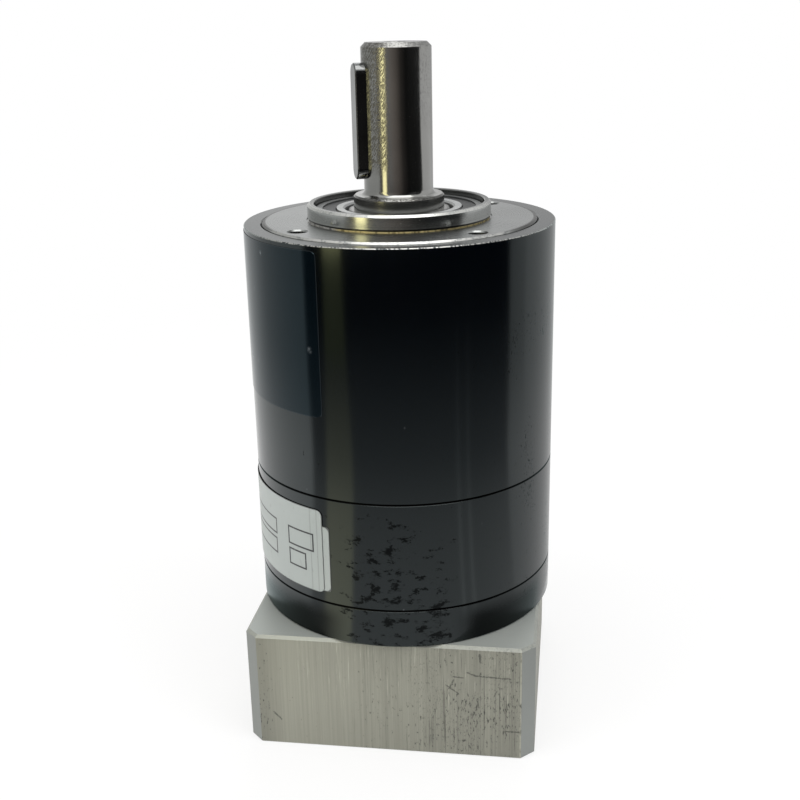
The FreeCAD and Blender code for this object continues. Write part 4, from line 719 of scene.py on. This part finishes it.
def cover_steel(colours):
    """Turned steel: rings on the flat, ground pilot with a painted highlight, broken like wear, on its rim's
    near side, painted shade in recesses, holes and at the back, and a golden line of oil and painted
    highlight at its foot.
    """
    f = Finish("turned_cover_steel")
    radius, z = f.axis("radius"), f.axis("z")
    face = mount_named("cover_face")["pos_m"][2] * MILLIMETRES
    wall = mount_named("pilot")["dims"]["r_mm"]
    reach = reach_of("front_cover")

    pilot = f.step(z, *at(face, PILOT_FOOT))
    rings = f.rings(radius, 3.2)
    bands = f.rings(z, 2.4, shift=5.0)
    cloud = f.noise(0.07, 0.07, 0.07, detail=5.0)
    turned = f.math("ADD", f.faded(rings, 0.5), f.faded(cloud, 0.5))
    flat = f.mix(f.step(turned, 0.3, 0.7), shade(colours.cover, 0.86), shade(colours.cover, 1.10))
    ground = f.mix(f.step(bands, 0.3, 0.7), shade(colours.pilot, 0.90), shade(colours.pilot, 1.10))
    base = f.mix(pilot, flat, ground)
    pit = f.step(f.noise(1.4, 1.4, 1.4, detail=5.0, ragged=0.62, shift=3.0), 0.665, 0.72)
    base = f.mix(f.faded(pit, 0.6), base, COVER_PIT)

    undercut = f.both(
        f.step(radius, *at(wall, UNDERCUT_OUTSIDE)),
        f.step(radius, *at(wall, UNDERCUT_INSIDE)),
        f.step(z, *at(face, UNDERCUT_TOP)),
    )
    # Painted shade in the pilot's undercut
    base = f.mix(f.faded(undercut, 0.92), base, SHADE_AND_GRIME)
    base, oil_and_glint = oil_and_glint_line(f, base, undercut, face)
    # Painted shade inside the bolt holes
    base = f.mix(f.faded(hole_depths(f, "cover_bolts", face), 0.9), base, SHADE_AND_GRIME)
    # A dark ring just inside the cover's edge, on its back half only, is painted shade of the gap there
    behind = f.step(f.axis("y"), *SEAM_SHADE_BACK)
    seam_shade = f.both(behind, f.step(radius, *at(reach, SEAM_SHADE_INSIDE)))
    base = f.mix(f.faded(seam_shade, 0.85), base, SHADE_AND_GRIME)
    # Painted shade on the bore wall inside the pilot
    bore = f.both(pilot, f.step(radius, *at(wall, BORE_WALL)))
    base = f.mix(f.faded(bore, 0.65), base, SHADE_AND_GRIME)

    base, level, near = pilot_rim(f, colours, base, wall, top_of("front_cover"))
    # A painted highlight, broken like wear, on the rim's near side and the front of the cover's edge
    lip = f.both(f.step(radius, *at(reach, LIP_INSIDE)), f.step(z, *at(face, LIP_BOTTOM)))
    lip = f.both(lip, f.step(behind, 0.6, 0.1))
    worn = f.both(f.either(near, lip), f.step(f.noise(0.9, 0.9, 0.9, shift=4.0), 0.36, 0.52))
    base = f.mix(f.faded(worn, 0.7), base, BARE_STEEL_AND_HIGHLIGHT)

    rough = f.blend(pilot, f.blend(turned, 0.23, 0.32), f.blend(bands, 0.14, 0.20))
    rough = f.blend(f.either(worn, seam_shade, level), rough, 0.32)
    f.set(base_color=base, roughness=f.blend(pit, rough, 0.6), metallic=f.blend(oil_and_glint, 1.0, 0.25))
    f.bump(f.math("SUBTRACT", f.blend(pilot, rings, bands), f.faded(pit, 2.0)), 0.005)
    return f.material


# Places on the shaft: angles about Z in degrees, heights past its end, radii past its side or shoulder
SHOULDER_RADIUS = 12.5
RUBBED_TURN = Span(205.0, 256.0, soft=10.0)
RUBBED_LENGTH = (-35.0, -30.0)
SCUFFED_TURN = Span(312.0, 350.0, soft=10.0)
SCUFFED_LENGTH = (-26.0, -12.0)
CROWN_LENGTH = (-1.5, -0.9)
SHOULDER_LENGTH = (-42.5, -41.0)
FILLET = (0.4, 0.9)
SHOULDER_EDGE = (-0.7, -0.5)
BEARING_SEAT = (0.5, 1.1)

# The shaft's slanting marks: millimetres round it for each of height, cycles per millimetre, and tone
SLANT = 0.75
MARKS_ACROSS = 2.3
MARKS_ALONG = 0.45
RUBBED_STEEL = (0.085, 0.080, 0.066)


def slanting_marks(f, side):
    """Short marks that slant round the shaft."""
    z = f.axis("z")
    arc = f.math("MULTIPLY", f.axis("angle"), side * math.radians(1))
    across = f.math("SUBTRACT", arc, f.math("MULTIPLY", z, SLANT))
    along = f.math("ADD", f.math("MULTIPLY", arc, SLANT), z)
    across = f.math("MULTIPLY", across, MARKS_ACROSS)
    along = f.math("MULTIPLY", along, MARKS_ALONG)
    place = f.add("CombineXYZ", across, along, 0.0).outputs[0]
    return f.cloudy(place, detail=3.0, ragged=0.55)


def shaft_steel(colours):
    """Ground steel: fine rings, rubbed slanting marks beside the key, a worn shoulder, small pits and painted
    shade on the bearing seat.
    """
    f = Finish("ground_shaft_steel")
    radius, z, angle, upward = f.axis("radius"), f.axis("z"), f.axis("angle"), f.facing("z")
    end, side = top_of("output_shaft"), mount_named("shaft_end")["dims"]["r_mm"]
    cloud = f.noise(0.10, 0.10, 0.06, detail=5.0)
    base = f.mix(f.step(cloud, 0.3, 0.7), shade(colours.shaft, 0.90), shade(colours.shaft, 1.08))

    fret = f.noise(2.4, 2.4, 1.9, detail=5.0, ragged=0.7, shift=2.0)
    ragged = f.math("ADD", f.faded(slanting_marks(f, side), 0.5), f.faded(fret, 0.5))
    beside = f.both(f.band(angle, *RUBBED_TURN), f.step(z, *at(end, RUBBED_LENGTH)))
    rubbed = f.both(beside, f.step(ragged, 0.44, 0.54))
    base = f.mix(f.faded(rubbed, 0.78), base, RUBBED_STEEL)
    pit = f.step(f.noise(2.2, 2.2, 1.6, shift=6.0), 0.69, 0.74)
    scuffed = f.both(f.band(angle, *SCUFFED_TURN), f.step(z, *at(end, SCUFFED_LENGTH)))
    crown = f.both(f.step(z, *at(end, CROWN_LENGTH)), f.blend(f.step(upward, 0.80, 0.95), 1.0, 0.35))
    pit = f.either(
        pit, f.both(scuffed, f.step(fret, 0.52, 0.60), 0.45), f.both(crown, f.step(fret, 0.45, 0.58))
    )
    base = f.mix(f.faded(pit, 0.7), base, grey(0.04))

    foot = f.step(radius, *at(side, FILLET))
    shoulder = f.both(foot, f.step(z, *at(end, SHOULDER_LENGTH)), f.step(upward, 0.75, 0.9))
    base = f.mix(f.faded(shoulder, 0.45), base, BARE_STEEL_AND_HIGHLIGHT)
    edge = f.both(f.step(radius, *at(SHOULDER_RADIUS, SHOULDER_EDGE)), f.band(upward, 0.35, 0.80, 0.1))
    base = f.mix(f.both(edge, f.blend(f.step(fret, 0.42, 0.58), 0.45, 0.95)), base, SHADE_AND_GRIME)
    # Painted shade on the bearing seat, wider than the shoulder
    seat = f.step(radius, *at(SHOULDER_RADIUS, BEARING_SEAT))
    base = f.mix(f.faded(seat, 0.8), base, SHADE_AND_GRIME)

    rough = f.blend(f.noise(0.5, 0.5, 0.2), 0.09, 0.15)
    rough = f.blend(f.either(rubbed, pit, crown), rough, 0.36)
    f.set(base_color=base, roughness=f.blend(foot, rough, 0.20), metallic=1.0)
    f.bump(f.math("SUBTRACT", f.faded(f.rings(z, 9.0), 0.4), f.either(rubbed, pit)), 0.004)
    return f.material


class PlainLook(NamedTuple):
    """An even material: colour, metallic share, roughness range, grain along x, y and z, relief, stain."""

    name: str
    rgb: tuple
    metallic: float
    rough: tuple
    grain: tuple
    relief: float
    stain: float = 0.72


GEAR_STEEL = PlainLook("hardened_gear_steel", (0.30, 0.30, 0.31), 1.0, (0.24, 0.36), (0.4, 0.4, 2.5), 0.006)
BEARING_STEEL = PlainLook(
    "polished_bearing_steel", (0.46, 0.47, 0.475), 0.85, (0.22, 0.34), (0.3, 0.3, 4.0), 0.002
)
INNER_RACE_STEEL = PlainLook(
    "ground_race_steel", (0.36, 0.37, 0.37), 0.45, (0.34, 0.44), (0.3, 0.3, 4.0), 0.002, stain=0.92
)
OUTER_RACE_STEEL = PlainLook(
    "shaded_race_steel", (0.13, 0.135, 0.135), 0.7, (0.34, 0.44), (0.3, 0.3, 4.0), 0.002, stain=0.92
)
SHIELD_STEEL = PlainLook(
    "pressed_shield_steel", (0.020, 0.021, 0.022), 0.6, (0.36, 0.48), (0.6, 0.6, 0.6), 0.006
)
SPRING_STEEL = PlainLook(
    "phosphated_spring_steel", (0.13, 0.133, 0.135), 0.7, (0.34, 0.50), (1.4, 1.4, 1.4), 0.010
)
SCREW_STEEL = PlainLook("black_screw_steel", (0.022, 0.022, 0.024), 0.3, (0.28, 0.42), (1.8, 1.8, 1.8), 0.008)
CAGE_BRASS = PlainLook("pressed_cage_brass", (0.56, 0.40, 0.16), 1.0, (0.28, 0.42), (0.8, 0.8, 0.8), 0.008)
WASHER_BRONZE = PlainLook(
    "lapped_washer_bronze", (0.46, 0.30, 0.13), 1.0, (0.30, 0.44), (1.2, 1.2, 1.2), 0.006
)
SEAL_RUBBER = PlainLook("seal_rubber", (0.012, 0.012, 0.013), 0.0, (0.55, 0.72), (2.2, 2.2, 2.2), 0.015)
PLUG_PLASTIC = PlainLook(
    "moulded_plug_plastic", (0.022, 0.022, 0.024), 0.0, (0.42, 0.55), (3.0, 3.0, 3.0), 0.012
)


def plain_material(look):
    """Even material with a cloudy tone, grain in its gloss and a fine relief."""
    f = Finish(look.name)
    cloud = f.noise(0.12, 0.12, 0.12, detail=5.0)
    grain = f.noise(*look.grain, shift=3.0)
    base = f.mix(f.step(cloud, 0.30, 0.70), shade(look.rgb, look.stain), shade(look.rgb, 1.12))
    speck = f.step(f.noise(1.9, 1.9, 1.9, detail=3.0, shift=8.0), 0.70, 0.76)
    base = f.mix(f.faded(speck, 0.5), base, shade(look.rgb, 0.25))
    f.set(base_color=base, roughness=f.blend(grain, *look.rough), metallic=look.metallic)
    f.bump(f.math("SUBTRACT", grain, speck), look.relief)
    return f.material


def key_steel(colours):
    """Drawn steel with its grain along the key."""
    look = PlainLook("drawn_key_steel", tuple(colours.key), 1.0, (0.10, 0.16), (1.5, 1.5, 0.05), 0.002)
    return plain_material(look)


def nodes_named(*endings):
    """CAD nodes whose names end in one of these words, with or without a number."""
    return [name for name in frame["nodes"] if name.rstrip("_0123456789").endswith(endings)]


class GEARBOX_OT_body(Operator):
    """Blacken the three sections of the body"""

    bl_idname = "gearbox.body"
    bl_label = "Body"

    def execute(self, context):
        wear(black_oxide(context.scene.gearbox_finishes), *BODY_SECTIONS)
        return {"FINISHED"}


class GEARBOX_OT_flange(Operator):
    """Saw and mill the motor flange, and mould its access plug"""

    bl_idname = "gearbox.flange"
    bl_label = "Motor Flange"

    def execute(self, context):
        wear(sawn_aluminium(context.scene.gearbox_finishes), "motor_flange")
        wear(plain_material(PLUG_PLASTIC), "access_plug")
        return {"FINISHED"}


class GEARBOX_OT_cover(Operator):
    """Turn the front cover"""

    bl_idname = "gearbox.cover"
    bl_label = "Front Cover"

    def execute(self, context):
        wear(cover_steel(context.scene.gearbox_finishes), "front_cover")
        return {"FINISHED"}


class GEARBOX_OT_shaft(Operator):
    """Grind the output shaft and draw its key"""

    bl_idname = "gearbox.shaft"
    bl_label = "Output Shaft"

    def execute(self, context):
        colours = context.scene.gearbox_finishes
        wear(shaft_steel(colours), "output_shaft")
        wear(key_steel(colours), "shaft_key")
        return {"FINISHED"}


class GEARBOX_OT_bearings(Operator):
    """Finish races, balls, rollers, pins, cages, washers, shields and circlips"""

    bl_idname = "gearbox.bearings"
    bl_label = "Bearings"

    def execute(self, context):
        polished = nodes_named("_race", "_balls", "_needles", "_planet_pins")
        wear(plain_material(BEARING_STEEL), *polished)
        wear(plain_material(INNER_RACE_STEEL), "front_bearing_inner_race")
        wear(plain_material(OUTER_RACE_STEEL), "front_bearing_outer_race")
        wear(plain_material(CAGE_BRASS), *nodes_named("_cage"))
        wear(plain_material(WASHER_BRONZE), *nodes_named("_washers"))
        wear(plain_material(SHIELD_STEEL), *nodes_named("_shields"))
        wear(plain_material(SPRING_STEEL), *nodes_named("_circlip", "_clips"))
        return {"FINISHED"}


class GEARBOX_OT_gears(Operator):
    """Finish the gears, the carrier, the bearing spacer and the clamp collar"""

    bl_idname = "gearbox.gears"
    bl_label = "Gears"

    def execute(self, context):
        hardened = nodes_named("_planet", "_sun", "_carrier", "_spacer", "_collar")
        wear(plain_material(GEAR_STEEL), *hardened)
        return {"FINISHED"}


class GEARBOX_OT_fasteners(Operator):
    """Finish the screws and the seals"""

    bl_idname = "gearbox.fasteners"
    bl_label = "Screws and Seals"

    def execute(self, context):
        wear(plain_material(SCREW_STEEL), *nodes_named("_screws", "_screw"))
        wear(plain_material(SEAL_RUBBER), "o_rings")
        return {"FINISHED"}


class GEARBOX_OT_labels(Operator):
    """Print the blank labels"""

    bl_idname = "gearbox.labels"
    bl_label = "Labels"

    def execute(self, context):
        colours = context.scene.gearbox_finishes
        wear(dark_film(colours), "side_sticker")
        wear(light_film("rating_plate_film", colours, "rating_plate", PRINTED_BOXES), "rating_plate")
        wear(light_film("under_plate_film", colours, "rating_plate_under"), "rating_plate_under")
        return {"FINISHED"}


# The floor: tones, its share of glow near the gearbox, and the radii in millimetres where shadows fade
WHITE = grey(1.0)
FLOOR_WHITE = grey(0.93)
FLOOR_GLOW = 0.72
SHADOW_REACH = (180.0, 520.0)

# Rays that see the floor and the surroundings white, and rays that miss the screen
SEEN_RAYS = ("Is Camera Ray", "Is Glossy Ray", "Is Transmission Ray")
MISSING_RAYS = ("camera", "diffuse", "shadow", "transmission", "volume_scatter")


def floor(side):
    """Pale floor that keeps the object's shadow and fades to white away from it."""
    half = side / 2
    mesh = bpy.data.meshes.new("floor")
    corners = [(-half, -half, 0), (half, -half, 0), (half, half, 0), (-half, half, 0)]
    mesh.from_pydata(corners, [], [(0, 1, 2, 3)])
    plane = bpy.data.objects.new("floor", mesh)
    bpy.context.scene.collection.objects.link(plane)
    f = Finish("pale_floor")
    matt = f.add("BsdfDiffuse", (*FLOOR_WHITE, 1.0)).outputs[0]
    glow = f.add("Emission", (*WHITE, 1.0), 1.0).outputs[0]
    path = f.add("LightPath").outputs
    seen = f.either(*(path[ray] for ray in SEEN_RAYS))
    share = f.blend(f.step(f.axis("radius"), *SHADOW_REACH), FLOOR_GLOW, 1.0)
    f.shine(f.add("MixShader", f.both(seen, share), matt, glow).outputs[0])
    mesh.materials.append(f.material)
    plane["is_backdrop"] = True


# The screen: its rows of radius and height in metres, and angles about Z in degrees
SCREEN_RADIUS = 0.262
SCREEN_ROWS = ((0.090, 0.0), (SCREEN_RADIUS, 0.0), (SCREEN_RADIUS, 0.40))
SCREEN_LIFT = 0.0004
SCREEN_STEPS = 180
HALF_TURN = 180.0
CAMERA_TURN = 270.0

# What the screen shows: turns in degrees from the camera's side, heights and lengths in millimetres
NIGHT = (0.004, 0.005, 0.007)
DUSK = (0.74, 0.76, 0.76)
LOW_TONES = (
    (-180, DUSK), (-125, DUSK), (-108, shade(DUSK, 0.85)), (-69, shade(DUSK, 0.9)), (-67, NIGHT),
    (78, NIGHT), (79.5, shade(DUSK, 0.52)), (94.5, shade(DUSK, 0.58)), (96.0, shade(DUSK, 0.72)),
    (110, shade(DUSK, 0.72)), (150, shade(DUSK, 0.80)), (180, DUSK),
)
HIGH_TONES = (
    (-180, grey(0.90)), (-130, (0.64, 0.65, 0.64)), (-69, (0.62, 0.63, 0.62)), (-67, (0.20, 0.19, 0.17)),
    (-46, (0.32, 0.30, 0.27)), (-30, (0.330, 0.322, 0.315)), (-18, (0.300, 0.270, 0.250)),
    (-4, (0.210, 0.185, 0.168)), (12, (0.060, 0.054, 0.050)), (28, grey(0.014)), (60, grey(0.020)),
    (78.5, grey(0.045)), (80, WHITE), (125, grey(0.95)), (148, grey(0.62)), (180, grey(0.62)),
)
NEAR_TONES = (
    (-100, grey(0.0)), (-70, grey(0.02)), (-42, (0.092, 0.096, 0.100)), (-3, (0.24, 0.245, 0.25)),
    (60, grey(0.46)), (112, grey(0.55)), (172, grey(0.62)),
)
HIGH_START = (98.0, 122.0)
LEAN_HEIGHT = (150.0, 114.0)
LEAN = 6.0
FAINT_STRIPS = (Span(36.3, 37.7, soft=0.6), Span(43.8, 45.2, soft=0.6))
FAINT_HEIGHT = (70.0, 20.0)
FAINT_TONE = grey(0.14)
FAINT_GAIN = grey(1.5)
WARM_MIDDLE = -46.0
WARM_HALVES = (10.0, 6.5)
WARM_TAPER = (0.0, 90.0)
WARM_SOFT = 1.2
WARM_HEIGHT = (96.0, 108.0)
WARM_LOW = (0.18, 0.19, 0.10)
WARM_HIGH = (3.40, 3.12, 1.68)
WARM_GAIN = (2.15, 2.06, 1.60)
FRONT_TURN = Span(-65.0, 76.0, soft=4.0)
WING_SIDES = (-40.0, 40.0)
WING_FLOOR = (-60.0, 10.0)
RIGHT_FLOOR = grey(0.70)


def screen_sheet(heading):
    """Stage sheet on the floor and up around the gearbox, which shows only in the gloss of surfaces."""
    builder = bmesh.new()
    rows = []
    for radius, height in SCREEN_ROWS:
        row = []
        for step in range(SCREEN_STEPS + 1):
            turn = heading + math.radians(FULL_TURN * step / SCREEN_STEPS - HALF_TURN + CAMERA_TURN)
            place = (radius * math.cos(turn), radius * math.sin(turn), height + SCREEN_LIFT)
            row.append(builder.verts.new(place))
        rows.append(row)
    for low, high in zip(rows, rows[1:]):
        for step in range(SCREEN_STEPS):
            builder.faces.new((low[step], high[step], high[step + 1], low[step + 1]))
    mesh = bpy.data.meshes.new("dark_screen")
    builder.to_mesh(mesh)
    builder.free()
    sheet = bpy.data.objects.new("dark_screen", mesh)
    bpy.context.scene.collection.objects.link(sheet)
    for ray in MISSING_RAYS:
        setattr(sheet, "visible_" + ray, False)
    sheet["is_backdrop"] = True
    return mesh


def screen(heading):
    """Light of the screen: dark in front, with a warm strip at the left, two faint ones and pale wings."""
    mesh = screen_sheet(heading)
    f = Finish("dark_screen")
    z = f.axis("z")
    turn = f.math("SUBTRACT", f.axis("angle"), math.degrees(heading) + CAMERA_TURN - HALF_TURN)
    turn = f.math("SUBTRACT", f.math("FLOORED_MODULO", turn, FULL_TURN), HALF_TURN)
    leaning = f.math("SUBTRACT", turn, f.blend(f.step(z, *LEAN_HEIGHT), 0.0, LEAN))
    tone = f.mix(f.step(z, *HIGH_START), f.ramp(turn, LOW_TONES), f.ramp(leaning, HIGH_TONES))
    faint = f.either(*(f.band(turn, *strip) for strip in FAINT_STRIPS))
    faint = f.both(faint, f.step(z, *reversed(HIGH_START)))
    tone = f.mix(f.both(faint, f.step(z, *FAINT_HEIGHT)), tone, FAINT_TONE)
    half = f.add("MapRange", z, *WARM_TAPER, *WARM_HALVES).outputs[0]
    aside = f.math("ABSOLUTE", f.math("SUBTRACT", turn, WARM_MIDDLE))
    strip = f.step(f.math("SUBTRACT", aside, half), WARM_SOFT, -WARM_SOFT)
    tone = f.mix(strip, tone, f.mix(f.step(z, *WARM_HEIGHT), WARM_LOW, WARM_HIGH))

    outwards = f.math("SUBTRACT", SCREEN_RADIUS * MILLIMETRES, f.axis("radius"))
    path = f.math("SUBTRACT", outwards, z)
    gain = f.mix(faint, f.mix(strip, WHITE, WARM_GAIN), FAINT_GAIN)
    lit = f.add("VectorMath", f.ramp(path, NEAR_TONES), gain, operation="MULTIPLY").outputs[0]
    front = f.add("VectorMath", tone, lit, operation="MAXIMUM").outputs[0]
    ground = f.mix(f.step(turn, *WING_SIDES), WHITE, RIGHT_FLOOR)
    wing = f.mix(f.step(path, *WING_FLOOR), tone, ground)
    glow = f.mix(f.band(turn, *FRONT_TURN), wing, front)
    f.shine(f.add("Emission", glow, 1.0).outputs[0])
    mesh.materials.append(f.material)


def surroundings(ambient):
    """White to the eye and in gloss, softer on matt surfaces."""
    world = bpy.data.worlds.new("studio")
    world.use_nodes = True
    tree = world.node_tree
    path = tree.nodes.new("ShaderNodeLightPath").outputs
    seen = path[SEEN_RAYS[0]]
    for ray in SEEN_RAYS[1:]:
        greater = tree.nodes.new("ShaderNodeMath")
        greater.operation = "MAXIMUM"
        tree.links.new(seen, greater.inputs[0])
        tree.links.new(path[ray], greater.inputs[1])
        seen = greater.outputs[0]
    strength = tree.nodes.new("ShaderNodeMapRange")
    strength.inputs["To Min"].default_value = ambient
    tree.links.new(seen, strength.inputs["Value"])
    background = tree.nodes["Background"]
    background.inputs["Color"].default_value = (*WHITE, 1.0)
    tree.links.new(strength.outputs[0], background.inputs["Strength"])
    bpy.context.scene.world = world


class Softbox(NamedTuple):
    """A square lamp: its place, side, power in watts and colour, aimed at the gearbox's middle."""

    name: str
    place: tuple
    side: float
    power: float
    rgb: tuple


SOFTBOXES = (
    Softbox("top_softbox", (0.10, -0.25, 1.30), 1.0, 9.0, (1.0, 0.99, 0.97)),
    Softbox("left_softbox", (-1.05, -0.75, 0.75), 0.8, 6.0, (1.0, 0.98, 0.94)),
    Softbox("right_softbox", (1.10, -0.55, 0.70), 0.8, 5.0, (0.96, 0.98, 1.0)),
    Softbox("back_softbox", (0.0, 1.20, 0.90), 0.9, 5.0, (0.98, 0.99, 1.0)),
)


def lamp(box, aim):
    """One softbox, turned towards a point."""
    light = bpy.data.lights.new(box.name, "AREA")
    light.energy = box.power
    light.size = box.side
    light.color = box.rgb
    holder = bpy.data.objects.new(box.name, light)
    holder.location = box.place
    holder.rotation_euler = (aim - Vector(box.place)).to_track_quat("-Z", "Y").to_euler()
    bpy.context.scene.collection.objects.link(holder)


def camera(stage):
    """Camera at the chosen place, heading, pitch and roll."""
    lens = bpy.data.cameras.new("camera")
    lens.lens = stage.lens
    holder = bpy.data.objects.new("camera", lens)
    holder.matrix_world = (
        Matrix.Translation(stage.camera_place)
        @ Matrix.Rotation(stage.camera_heading, 4, "Z")
        @ Matrix.Rotation(math.radians(90) - stage.camera_pitch, 4, "X")
        @ Matrix.Rotation(stage.camera_roll, 4, "Z")
    )
    bpy.context.scene.collection.objects.link(holder)
    bpy.context.scene.camera = holder


class GEARBOX_OT_stage(Operator):
    """Set up the floor, the light and the camera"""

    bl_idname = "gearbox.stage"
    bl_label = "Stage"

    def execute(self, context):
        stage = context.scene.gearbox_stage
        floor(stage.floor_side)
        screen(stage.camera_heading)
        surroundings(stage.ambient)
        low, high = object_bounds()
        middle = (Vector(low) + Vector(high)) / 2
        for box in SOFTBOXES:
            lamp(box, middle)
        camera(stage)
        context.scene.view_settings.view_transform = "Standard"
        return {"FINISHED"}


PIECES = (
    GEARBOX_OT_body,
    GEARBOX_OT_flange,
    GEARBOX_OT_cover,
    GEARBOX_OT_shaft,
    GEARBOX_OT_bearings,
    GEARBOX_OT_gears,
    GEARBOX_OT_fasteners,
    GEARBOX_OT_labels,
    GEARBOX_OT_stage,
)


class GEARBOX_PT_panel(Panel):
    """Sidebar panel with the gearbox's steps and settings"""

    bl_idname = "GEARBOX_PT_panel"
    bl_label = "Gearbox"
    bl_space_type = "VIEW_3D"
    bl_region_type = "UI"
    bl_category = "Gearbox"

    def draw(self, context):
        for piece in PIECES:
            self.layout.operator(piece.bl_idname)
        for group in (context.scene.gearbox_finishes, context.scene.gearbox_stage):
            column = self.layout.column()
            for name in group.__annotations__:
                column.prop(group, name)


CLASSES = (GearboxFinishes, GearboxStage, *PIECES, GEARBOX_PT_panel)


def register():
    """Make the settings, the operators and the panel known to Blender."""
    for item in CLASSES:
        bpy.utils.register_class(item)
    bpy.types.Scene.gearbox_finishes = PointerProperty(type=GearboxFinishes)
    bpy.types.Scene.gearbox_stage = PointerProperty(type=GearboxStage)


def unregister():
    """Take the settings, the operators and the panel back out of Blender."""
    del bpy.types.Scene.gearbox_stage
    del bpy.types.Scene.gearbox_finishes
    for item in reversed(CLASSES):
        bpy.utils.unregister_class(item)


def main():
    register()
    for piece in PIECES:
        group, name = piece.bl_idname.split(".")
        getattr(getattr(bpy.ops, group), name)()


if __name__ == "__main__":
    main()
